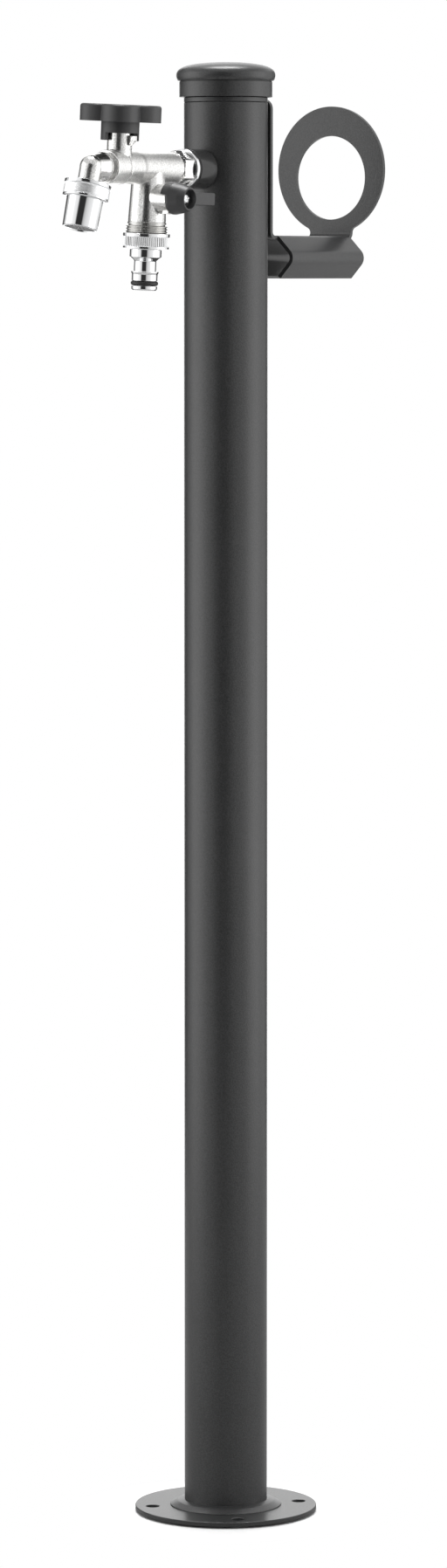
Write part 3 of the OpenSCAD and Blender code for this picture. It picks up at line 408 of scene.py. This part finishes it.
# Tube
# A drawn steel tube of 54 mm with a 2 mm wall, powder coated all over. Its upper end is cut
# square, with the coat rounding the edge.
TUBE_BORE_R = 25
TUBE_TOP = 919.5
turned(
    "post_tube_skin",
    [(TUBE_BORE_R, PLATE_T), (TUBE_R, PLATE_T), (TUBE_R, TUBE_TOP, 0.35), (TUBE_BORE_R, TUBE_TOP)],
    STAND,
    "post_tube",
    columns=192,
)


# Cap insert
# The band between tube and cap belongs to a moulded plug that is pushed into the tube and
# carries the cap. A fine shadow line stays open on both sides of the band.
turned(
    "cap_insert_skin",
    [
        (22.4, 909.5), (24.9, 909.5), (24.9, 919.45), (26.6, 919.55), (TUBE_R, 919.9, 0.15),
        (TUBE_R, 922.5, 0.15), (26.6, 922.85), (25.0, 922.9), (25.0, 930.2), (22.4, 930.2),
    ],
    STAND,
    "cap_insert",
    columns=192,
)


# Cap
# Die cast, with a straight skirt, a fine groove under its rounded rim and a low dome, powder
# coated. It is pushed over the insert's neck.
RIM_R = 32.0
RIM_FOOT = 933.3
DOME_RISE = 12.1
# Shares of the rim's radius and of the dome's rise, from the groove over the rim to the crown
dome = np.array(
    [
        (0.965, 0.02), (0.982, 0.09), (0.994, 0.18), (1.0, 0.31), (0.995, 0.42),
        (0.975, 0.53), (0.94, 0.63), (0.89, 0.71), (0.83, 0.775), (0.76, 0.83),
        (0.68, 0.875), (0.58, 0.915), (0.46, 0.95), (0.32, 0.978), (0.16, 0.995), (0, 1.0),
    ]
)
along = np.linspace(0, 1, len(dome))
finer = np.linspace(0, 1, 4 * len(dome) - 3)
dome = np.stack([np.interp(finer, along, dome[:, k]) for k in (0, 1)], 1)
soft = np.array([1, 2, 3, 2, 1]) / 9
dome[2:-2] = np.stack([np.convolve(dome[:, k], soft, "valid") for k in (0, 1)], 1)
skirt = rounded(
    [
        (0, 940.0), (22.5, 940.0), (25.1, 937.5), (25.1, 922.9), (30, 922.95, 0.35),
        (30, 932.8, 0.2), (29.6, 933.0), (29.6, RIM_FOOT),
    ]
)
skin(
    "top_cap_skin",
    lathe(np.concatenate([skirt, dome * (RIM_R, DOME_RISE) + (0, RIM_FOOT)]), 192),
    STAND,
    "top_cap",
)


# Hose holder
# One sheet of 2.5 mm steel, cut, drilled and bent: back plate, shelf with two folded sides,
# and the upright ring. The coat softens every cut edge.
broken_copy("hose_holder", 0.0006)


# Holder screws
# Two button head screws of steel, coated like the holder, which they clamp to rivet nuts in
# the tube's wall.
broken_copy("holder_screws", 0.0)


# Wall socket
# A turned black plastic sleeve between the tube's wall and the tap, glossier than the coat,
# with a fine step in front. It is clamped by the lock nut inside the tube.
TAP_HEIGHT = 876.4


def shift(x, y, z):
    """4 x 4 matrix that moves by x, y, z."""
    m = np.eye(4)
    m[:3, 3] = x, y, z
    return m


def turn(axis, angle):
    """4 x 4 matrix that turns by an angle in degrees about an axis."""
    m = np.eye(4)
    i, j = {"X": (1, 2), "Y": (2, 0), "Z": (0, 1)}[axis]
    a = math.radians(angle)
    m[i, i] = m[j, j] = math.cos(a)
    m[j, i] = math.sin(a)
    m[i, j] = -m[j, i]
    return m


def satin_black(wire, place):
    """Smooth black plastic, glossier than the handles, with faint flow marks."""
    flow = grown(wire, place, 0.006)
    return wire.node(
        "BsdfPrincipled",
        Base_Color=flow.mix(0.038, 0.044),
        Roughness=0.08 + 0.04 * flow,
        Specular_IOR_Level=0.4,
    )


OUTLET = shift(0, 0, TAP_HEIGHT) @ turn("X", 90)
turned(
    "wall_socket_skin",
    [
        (0, 22.0), (9.0, 22.0), (9.0, TUBE_R + 0.05), (12.8, TUBE_R + 0.05, 0.2),
        (12.8, 43.6, 0.4), (12.2, 44.25, 0.2), (0, 44.25),
    ],
    OUTLET,
    "wall_socket",
    material("satin_black", satin_black),
)


# Socket gasket
# A flat ring of black rubber, cut from sheet and squeezed between the socket and the rosette,
# where it shows as a thin dark line.
def seal_rubber(wire, place):
    """Black sealing rubber with a dusty skin."""
    dust = grown(wire, place, 0.002, 3.0)
    return wire.node(
        "BsdfPrincipled",
        Base_Color=dust.mix(0.012, 0.03),
        Roughness=0.35 + 0.2 * dust,
    )


finish_of["rubber"] = material("seal_rubber", seal_rubber)
turned(
    "socket_gasket_skin",
    [(10.7, 44.2), (12.3, 44.2), (12.5, 44.7, 0.2), (12.3, 45.3), (10.7, 45.3)],
    OUTLET,
    "socket_gasket",
)


# Rosette
# A turned brass washer with full round edges, polished and chromium plated. The tap's hexagon
# clamps it to the socket.
def bright_chrome(wire, place):
    """Polished chrome with faint water spots."""
    spots = grown(wire, place, 0.003, 3.0)
    return wire.node(
        "BsdfPrincipled",
        Base_Color=(0.92, 0.925, 0.93, 1.0),
        Metallic=1.0,
        Roughness=0.03 + 0.05 * spots.clip(0.5, 0.8),
    )


finish_of["chrome"] = material("bright_chrome", bright_chrome)
turned(
    "rosette_skin",
    [(10.7, 45.27), (12.8, 45.27, 1.0), (12.8, 48.85, 1.3), (10.7, 48.85)],
    OUTLET,
    "rosette",
    steps=8,
)


# Casting of the tap
# Barrel, ball housing, stem boss and branch are one sand casting in brass, blasted and nickel
# plated. Soft fillets run where they meet, so the turned forms are melted into one skin.
TAP_ROLL = 3
HOUSING_OUT = 116.458
BRANCH_OUT = 83.958
VALVE_DROP = 18.2
TAP = shift(0, 0, TAP_HEIGHT) @ turn("Y", TAP_ROLL)
BARREL = TAP @ turn("X", 90)
MAIN = TAP @ shift(0, -HOUSING_OUT, 0)
BRANCH = TAP @ shift(0, -BRANCH_OUT, 0)
VALVE = BRANCH @ shift(0, 0, -VALVE_DROP) @ turn("Y", 90)


def satin_nickel(wire, place):
    """Plated casting: a finely blasted skin, so that what it mirrors runs softly together. The
    barrel is blasted more coarsely, up to the spout's root at y -0.13."""
    grain = grown(wire, place, 0.0009, 3.0)
    lumps = grown(wire, place, 0.003)
    across = wire.node("SeparateXYZ", Vector=place)
    before_spout = across.other(1).clip(-0.133, -0.130)
    off_axis = wire.math("ABSOLUTE", across.other(2) - TAP_HEIGHT * MM)
    coarse = (1.0 - off_axis.clip(0.0085, 0.0115)) * before_spout
    return wire.node(
        "BsdfPrincipled",
        Base_Color=grain.clip(0.35, 0.65).mix((0.68, 0.677, 0.665, 1.0), (0.95, 0.945, 0.93, 1.0)),
        Metallic=1.0,
        Roughness=0.18 + 0.1 * grain + 0.16 * coarse,
        Normal=bumped(wire, grain * 0.5 + lumps * 0.5, 0.00008, 0.5),
    )


def melted(first, others, voxel, rounds):
    """Joins turned forms and lets their skins run together: voxels first, then as many rounds
    of smoothing as the fillets need."""
    whole = bmesh.new()
    for part in (first, *others):
        whole.from_mesh(part.data)
    whole.to_mesh(first.data)
    whole.free()
    for part in others:
        bpy.data.objects.remove(part)
    first.modifiers.clear()
    melt = first.modifiers.new("melted", "REMESH")
    melt.mode = "VOXEL"
    melt.voxel_size = voxel
    melt.use_smooth_shade = True
    soften = first.modifiers.new("fillets", "SMOOTH")
    soften.factor = 0.5
    soften.iterations = rounds


finish_of["nickel"] = material("satin_nickel", satin_nickel)
barrel = turned(
    "tap_casting",
    [
        (0, 50.0), (9.85, 50.0), (9.85, 98.0, 6.0), (10.35, 101.5, 4.0), (10.35, 114.6, 0.3),
        (9.9, 115.2), (9.9, 115.9), (10.7, 116.3, 0.3), (10.7, 129.6, 0.6),
        (10.2, 130.5, 0.2), (0, 130.5),
    ],
    BARREL,
    "tap_body",
)
boss = turned(
    "tap_boss",
    [(0, 0), (7.9, 0), (7.9, 22.6, 0.5), (0, 22.6)],
    MAIN,
    "tap_body",
    columns=64,
)
branch = turned(
    "tap_branch",
    [
        (0, -34.3), (12.0, -34.3), (12.0, -32.0, 6.0), (11.1, -11.0, 12.0), (9.2, 0, 2.0),
        (0, 0),
    ],
    BRANCH,
    "tap_body",
)
melted(barrel, (boss, branch), 0.00034, 7)


# Hexagon of the tap
# The casting's spanner flats, milled and chamfered at both ends, brighter than the skin
# round them.
HALF_FLATS = 10.3
TIP_R = 11.9
HEX_BACK = 48.86
HEX_FRONT = 59.36


def swept(rows, a):
    """Grid whose row i, column j is (r cos a_j, r sin a_j, z), with r and z from row i: one
    number for the whole row, or one for each angle."""
    return np.stack([np.stack([r * np.cos(a), r * np.sin(a), z + 0 * a], -1) for r, z in rows])


def polished_nickel(wire, place):
    """The same plating where the casting was turned bright, with faint tool marks."""
    marks = grown(wire, place, 0.0012)
    return wire.node(
        "BsdfPrincipled",
        Base_Color=(0.90, 0.895, 0.885, 1.0),
        Metallic=1.0,
        Roughness=0.12 + 0.08 * marks,
    )


bright_nickel = material("polished_nickel", polished_nickel)
a = circle(288)
flats = HALF_FLATS / np.cos(np.abs((a + np.pi / 6) % (np.pi / 3) - np.pi / 6))
flats = flats - 0.25 * np.clip((flats - 11.45) / 0.44, 0, 1) ** 2
rows = np.concatenate([[HEX_BACK], np.linspace(HEX_BACK, HEX_FRONT, 43), [HEX_FRONT]])
back_chamfer = TIP_R + (rows - 49.5) * 1.6
front_chamfer = 9.5 + (HEX_FRONT - rows) * 2.6
limit = np.minimum(TIP_R, np.minimum(back_chamfer, front_chamfer))
radius = np.minimum(flats[None, :], limit[:, None])
radius[[0, -1]] = 0.0
skin("tap_hexagon", swept(zip(radius, rows), a), BARREL, "tap_body", bright_nickel, 25.0)


# Rings of the ball housing
# A bright turned ring at the back of the housing, a fine one at its front, where the tool that
# bored the casting was set, and the parting line behind the flare.
turned(
    "tap_parting",
    [(9.6, 98.6), (9.95, 98.6), (10.0, 98.9, 0.1), (9.9, 99.2), (9.6, 99.2)],
    BARREL,
    "tap_body",
    columns=128,
)
turned(
    "tap_seam_ring",
    [(10.0, 116.0), (10.6, 116.0), (10.95, 116.2, 0.15), (10.95, 116.9, 0.25), (10.0, 116.9)],
    BARREL,
    "tap_body",
    bright_nickel,
    128,
)
turned(
    "tap_front_ring",
    [(9.4, 129.9), (10.7, 129.9), (10.7, 130.3, 0.15), (10.3, 130.56, 0.15), (9.4, 130.56)],
    BARREL,
    "tap_body",
    bright_nickel,
    128,
)


# Relief ring and outlet thread
# Under the branch the casting is turned: a narrow ring, a groove, and the three quarter inch
# thread, of which three crests show above the nut. The plating on it is thin and dull.
TURN_FROM = 36.0
TURN_TO = 46.9
TURN_STEP = 1.72


def cut_nickel(wire, place):
    """The plating on the cut threads, where it is thin and dull between the crests."""
    marks = grown(wire, place, 0.0012)
    return wire.node(
        "BsdfPrincipled",
        Base_Color=marks.mix((0.50, 0.495, 0.48, 1.0), (0.68, 0.675, 0.66, 1.0)),
        Metallic=1.0,
        Roughness=0.20 + 0.1 * marks,
    )


crests = [
    corner
    for z in np.arange(TURN_FROM, TURN_TO, TURN_STEP)[::-1]
    for corner in [(12.45, -z - 1.62, 0.12), (13.2, -z - 0.95, 0.14), (13.2, -z - 0.62, 0.14)]
    if corner[1] > -TURN_TO
]
relief = [
    (12.3, -36.2), (11.7, -36.1, 0.1), (11.7, -35.5, 0.1), (12.35, -35.35, 0.1),
    (12.35, -34.2, 0.15), (11.6, -34.1), (0, -34.1),
]
skin(
    "tap_thread",
    lathe(rounded([(0, -47.0), (12.4, -47.0)] + crests + relief, 5), 128),
    BRANCH,
    "tap_body",
    material("cut_nickel", cut_nickel),
    60.0,
)


# Collar and stop lugs
# The branch stem's collar is cast like the skin round it, with a bright lug at its side. The
# boss has such a lug too. The notches in the handles' skirts run over them from stop to stop.
LUG_HALF = 12.1
turned(
    "tap_collar",
    [(0, 6.0), (8.7, 6.0), (8.7, 22.25, 0.4), (0, 22.25)],
    VALVE,
    "tap_body",
)


def lug(name, inner, reach, top, height, place):
    """A wedge of twice LUG_HALF degrees: its outline in (r, z) is swept about Z, narrows a
    little at both ends, and closes there in its middle."""
    slant = (reach - inner) * 0.6
    line = rounded(
        [
            (inner, top - height), (reach - slant, top - height, 0.4),
            (reach, top - height + slant, 0.4), (reach, top, 0.5), (inner, top),
        ],
        4,
    )
    full = LUG_HALF - 0.9
    angle = np.radians([-LUG_HALF, -LUG_HALF, -full, 0, full, LUG_HALF, LUG_HALF])[:, None]
    narrow = 1 - 0.35 / 3
    share = np.array([0, narrow, 1, 1, 1, narrow, 0])[:, None, None]
    middle = line.mean(0)
    row = middle + (line - middle) * share
    grid = np.stack([row[..., 0] * np.cos(angle), row[..., 0] * np.sin(angle), row[..., 1]], -1)
    return skin(name, grid[:, ::-1], place, "tap_body", bright_nickel)


lug("tap_main_lug", 6.9, 11.9, 20.15, 6.25, MAIN)
lug("tap_branch_lug", 7.7, 10.3, 17.84, 6.18, VALVE)


# Spout
# A cast elbow at the far end of the housing: groove and rim at its root, a cone, a ball shaped
# corner, and the leg with the outlet thread, plated like the tap.
SPOUT_OUT = 145.158
SPOUT_LEAN = 14
CORNER_R = 7.3
SPOUT = TAP @ shift(0, -SPOUT_OUT, 0) @ turn("X", -SPOUT_LEAN)
turned(
    "spout_root",
    [
        (0, 130.4), (8.4, 130.4), (8.4, 133.7), (9.0, 133.8), (9.3, 134.1, 0.2),
        (9.3, 134.65, 0.25), (8.7, 135.3), (0, 135.3),
    ],
    BARREL,
    "spout_elbow",
)
cone = turned(
    "spout_casting",
    [(0, 134.9), (8.9, 134.9), (8.0, 140.0, 8.0), (6.9, 145.2), (0, 145.2)],
    BARREL,
    "spout_elbow",
    columns=72,
)
rise = np.linspace(-np.pi / 2, np.pi / 2, 33)
corner = skin(
    "spout_corner",
    lathe(CORNER_R * np.stack([np.cos(rise), np.sin(rise)], 1), 72),
    SPOUT,
    "spout_elbow",
)
leg = turned(
    "spout_leg",
    [(0, -10.4), (7.0, -10.4), (7.15, 0), (0, 0)],
    SPOUT,
    "spout_elbow",
    columns=72,
)
melted(cone, (corner, leg), 0.00024, 5)
turned(
    "spout_thread",
    [
        (0, -16.0), (13.1, -16.0), (13.1, -11.6, 0.3), (12.6, -11.0), (7.4, -10.0, 1.0),
        (6.9, -9.4), (0, -9.4),
    ],
    SPOUT,
    "spout_elbow",
    bright_nickel,
)


# Spout nut
# A turned brass union nut, chromium plated: a polished flange above and below, and between
# them a band with a fine herringbone knurl for the fingers.
SPOUT_NUT_DROP = 10.6
BAND_R = 14.5
BAND_FOOT = -8.6


def nut_line(hole, top):
    """Outline of a union nut, from the hole in its floor round the outside to its bore."""
    band = [(BAND_R, BAND_FOOT + 0.5 * step) for step in range(12)]
    foot = [
        (hole, -10.8), (13.0, -10.8, 0.5), (14.7, -10.25, 0.15), (14.7, -9.0, 0.12),
        (14.1, -8.85),
    ]
    head = [
        (BAND_R, top - 2.4), (14.1, top - 2.2), (14.9, top - 2.15, 0.05),
        (15.0, top - 2.0, 0.08), (15.0, top - 0.15, 0.12), (14.8, top, 0.1), (13.35, top),
        (13.35, -8.86), (hole, -8.86),
    ]
    return rounded(foot + band + head, 5)


def knurled(grid, teeth, depth, fold):
    """Cuts teeth into the band of a nut: radius less depth (0.5 - 0.5 cos(teeth (a + fold w)))^2,
    where w is a triangle wave up the band."""
    z = grid[..., 2]
    band = (z > BAND_FOOT - 0.1) & (z < z.max() - 2.3) & (grid[:, :1, 0] > BAND_R - 0.2)
    a = np.arctan2(grid[..., 1], grid[..., 0])
    w = np.abs((z - BAND_FOOT) / 2.0 % 2 - 1)
    cut = depth * (0.5 - 0.5 * np.cos(teeth * (a + fold * w))) ** 2
    less = np.where(band, 1 - cut / BAND_R, 1.0)
    return grid * np.stack([less, less, np.ones_like(less)], -1)


skin(
    "spout_nut_skin",
    knurled(lathe(nut_line(11.9, 0.0), 1008), 126, 0.3, 0.09),
    SPOUT @ shift(0, 0, -SPOUT_NUT_DROP),
    "spout_nut",
    sharp=60.0,
)


# Plug nut
# The same nut under the branch, turned from brass and chromium plated, but its band has
# straight ribs.
PLUG_NUT_DROP = 40.51
skin(
    "plug_nut_skin",
    knurled(lathe(nut_line(10.3, -0.6), 768), 68, 0.5, 0.0),
    BRANCH @ shift(0, 0, -PLUG_NUT_DROP),
    "plug_nut",
    sharp=60.0,
)


# Spray cup
# Deep drawn brass, polished and chromium plated, held by the nut's floor. Its mouth is turned
# in to a round lip.
turned(
    "spray_cup_skin",
    [
        (9.9, -39.9), (10.7, -40.0, 0.25), (11.2, -39.5, 0.4), (11.8, -19.46), (13.1, -19.46),
        (13.1, -17.2), (10.15, -17.2), (10.15, -19.5), (9.5, -38.9),
    ],
    SPOUT,
    "spray_cup",
)


# Screen
# A disc of grey plastic, moulded with rings of fine holes, which sits in the cup's mouth and
# breaks the jet.
def screen_plastic(wire, place):
    """Grey moulded plastic of the spray screen, with a little lime in its pores."""
    lime = grown(wire, place, 0.0015, 3.0)
    return wire.node(
        "BsdfPrincipled",
        Base_Color=lime.mix(0.20, 0.34),
        Roughness=0.45 + 0.2 * lime,
    )


broken_copy("cup_screen", 0.0, material("screen_plastic", screen_plastic))


# Hose plug
# Turned brass, chromium plated: body, neck with catch ring, and a nose whose groove takes the
# sealing ring. All its edges are lightly broken.
turned(
    "hose_plug_skin",
    [
        (4.5, -77.23), (7.8, -77.23, 0.3), (8.3, -76.4, 0.4), (8.3, -74.53, 0.12),
        (5.6, -74.53), (5.6, -71.18), (8.3, -71.18, 0.12), (8.3, -67.2, 0.2),
        (8.9, -65.9, 0.2), (8.7, -65.24, 0.12), (7.15, -65.24, 0.2), (7.15, -58.87, 0.6),
        (10.2, -56.17, 0.5), (10.2, -49.4), (13.1, -49.4), (13.1, -47.9), (4.5, -47.9),
    ],
    BRANCH,
    "hose_plug",
    columns=128,
)


# Sealing ring
# A moulded ring of black rubber, stretched over the hose plug's nose into its groove, and
# standing proud of it.
RING_R = 7.163
RING_Z = -72.855
CORD_R = 1.574
a = circle(32)
skin(
    "plug_ring_skin",
    lathe(np.stack([RING_R + CORD_R * np.cos(a), RING_Z + CORD_R * np.sin(a)], 1)),
    BRANCH,
    "plug_ring",
)


# Handwheel
# Moulded black plastic: five lobes, a softly rounded upper edge, a hollow underside with a rib
# in each lobe, and a hub skirt whose notch runs over the stop lug.
LOBE_OUT = 14.7
LOBE_R = 11.6
VALLEY_R = 19.462
CROSSING = 4.872
RIM_WALL = 2.32
HUB_R = 12.1
SKIRT_FOOT = 16.75
HOLLOW_TOP = 36.1
RIB_DEPTH = 7.5
WHEEL_TOP = 39.35
EDGE_ROUND = 1.9
VALVE_TRAVEL = 90
STOP_PLAY = 2


def black_plastic(wire, place):
    """Moulded black plastic with a fine spark eroded skin."""
    grain = grown(wire, place, 0.0007)
    return wire.node(
        "BsdfPrincipled",
        Base_Color=grain.mix((0.034, 0.034, 0.035, 1.0), (0.048, 0.048, 0.049, 1.0)),
        Roughness=0.36 + 0.1 * grain,
        Specular_IOR_Level=0.6,
        Normal=bumped(wire, grain, 0.00006, 0.4),
    )


def lobes(a, inset):
    """Radius of the rim: the larger of a lobe's circle, m cos d + sqrt(r^2 - (m sin d)^2), and
    the valley's circle, with a soft crossing."""
    step = 2 * np.pi / 5
    off = np.abs(a - step * np.round(a / step))
    reach = LOBE_R - inset
    side = LOBE_OUT * np.sin(off)
    tip = LOBE_OUT * np.cos(off) + np.sqrt(np.maximum(reach**2 - side**2, 0))
    tip = np.where(side < reach, tip, 0)
    low = VALLEY_R - inset
    near = np.maximum(CROSSING - np.abs(tip - low), 0) / CROSSING
    return np.maximum(tip, low) + near**2 * CROSSING / 4


def stop_notch(a, deep, ease):
    """Depth of a skirt's notch: deep wherever the lug passes between the stops, with a little
    play, and with walls that slope over ease degrees."""
    beyond = (np.degrees(a) + 180) % 360 - 180
    last = LUG_HALF + STOP_PLAY
    into = np.clip((beyond + VALVE_TRAVEL + last) / ease, 0, 1)
    return deep * into * np.clip((last - beyond) / ease, 0, 1)


finish_of["plastic"] = material("black_plastic", black_plastic)
a = circle(360)
notch = stop_notch(a, 4.72, 1.0)
outline = lobes(a - np.pi / 2, 0.0)
inner = lobes(a - np.pi / 2, RIM_WALL)
from_rib = np.abs(np.sin((a - np.pi / 2 + np.pi / 5) % (2 * np.pi / 5) - np.pi / 5))
rows = [
    (0, 23.0), (9.56, 23.0), (9.56, SKIRT_FOOT + notch), (9.8, SKIRT_FOOT + notch),
    (11.8, SKIRT_FOOT + notch), (HUB_R, 17.05 + notch), (HUB_R, 28.2),
]
for share in np.linspace(0, 1, 9):
    r = HUB_R + (inner - HUB_R) * share
    rib = np.clip((1.5 - r * from_rib) / 0.4, 0, 1)
    rows.append((r, HOLLOW_TOP - RIB_DEPTH * rib))
rows += [(inner, 28.6), (outline - 0.1, 28.55), (outline, 28.65)]
for t in np.radians(np.linspace(0, 90, 9)):
    drop = EDGE_ROUND * (1 - math.sin(t))
    rows.append((outline - EDGE_ROUND * (1 - math.cos(t)), WHEEL_TOP - drop))
rows += [(4.4, WHEEL_TOP), (3.9, 39.0), (3.8, 36.11), (0, 36.11)]
skin("handwheel_skin", swept(rows, a), MAIN, "handwheel", sharp=50.0)


# Handwheel screw
# A cross head screw with a low dome, steel, chromium plated, in the hub's recess. It holds the
# wheel on the stem's square.
broken_copy("handwheel_screw", 0.0)


# Branch knob
# Moulded black plastic, tapered to a rounded rim round the screw's recess, with its own notch
# over the stop lug.
KNOB_SKIRT = 17
a = circle(240)
notch = stop_notch(a, 3.92, 1.5)
outer = rounded(
    [
        (10.3, 16.8), (10.3, 22.4, 3.0), (9.0, 28.4, 5.0), (7.9, 31.3, 4.0), (7.2, 33.17, 0.5),
        (6.1, 33.17, 0.5), (5.9, 28.66), (0, 28.66),
    ]
)
rows = [(0, 22.65), (9.1, 22.65), (9.1, 16.5), (9.3, 16.47), (10.0, 16.47)] + outer.tolist()
rows = [(r, z + notch if z < KNOB_SKIRT else z) for r, z in rows]
skin("branch_knob", swept(rows, a), VALVE, "branch_handle", sharp=50.0)


# Lever
# The flat bar moulded on the knob in the same black plastic, rounded on all edges and thinner
# towards its end.
def bar(name, stations, place, node):
    """A bar along Y. Each station gives y, half width, z from and z to, and the radius q of the
    corners of its section: four quarter rounds, corner k about (s_k x0, s_k z0)."""
    t = np.radians(np.linspace(0, 90, 6)) + np.arange(4)[:, None] * np.pi / 2
    side_x = np.array([1, -1, -1, 1])[:, None]
    side_z = np.array([1, 1, -1, -1])[:, None]
    rows = []
    for y, half, low, high, q in stations:
        x = (side_x * (half - q) + q * np.cos(t)).ravel()
        z = (side_z * ((high - low) / 2 - q) + q * np.sin(t)).ravel()
        rows.append(np.stack([x, 0 * x + y, z + (low + high) / 2], -1))
    rows = [rows[0] * 0 + rows[0].mean(0)] + rows + [rows[-1] * 0 + rows[-1].mean(0)]
    return skin(name, np.array(rows)[:, ::-1], place, node, sharp=50.0)


bar(
    "branch_lever",
    [
        (6.3, 4.0, 25.5, 31.5, 0.9), (23.0, 4.0, 25.5, 31.5, 0.9), (23.6, 4.0, 25.53, 31.47, 0.9),
        (30.6, 4.0, 26.8, 30.2, 0.9), (31.1, 3.8, 27.0, 30.0, 0.8), (31.4, 3.4, 27.4, 29.6, 0.6),
        (31.5, 2.9, 27.8, 29.2, 0.4),
    ],
    VALVE,
    "branch_handle",
)


# Branch screw
# The same cross head screw in the end of the knob, where it holds knob and lever on the
# branch's stem.
broken_copy("branch_screw", 0.0)


# Pieces inside
# Riser, elbow, lock nut, stems, balls, seats and seals can't be seen. They are turned brass,
# chromium plated brass, plastic and rubber, screwed or pressed in place, and keep the CAD's
# meshes.
def turned_brass(wire, place):
    """Machined brass, a little tarnished."""
    tarnish = grown(wire, place, 0.006, 3.0)
    return wire.node(
        "BsdfPrincipled",
        Base_Color=tarnish.mix((0.62, 0.43, 0.18, 1.0), (0.80, 0.62, 0.32, 1.0)),
        Metallic=1.0,
        Roughness=0.24 + 0.2 * tarnish,
    )


def white_plastic(wire, place):
    """White pipe and seat plastic, slightly cloudy."""
    cloud = grown(wire, place, 0.01)
    return wire.node(
        "BsdfPrincipled",
        Base_Color=cloud.mix((0.74, 0.74, 0.71, 1.0), (0.82, 0.82, 0.80, 1.0)),
        Roughness=0.3 + 0.1 * cloud,
    )


finish_of["brass"] = material("turned_brass", turned_brass)
finish_of["white_plastic"] = material("white_plastic", white_plastic)
for name, node in frame["nodes"].items():
    node.data.materials.clear()
    node.data.materials.append(finish_of[slot_of[name]])
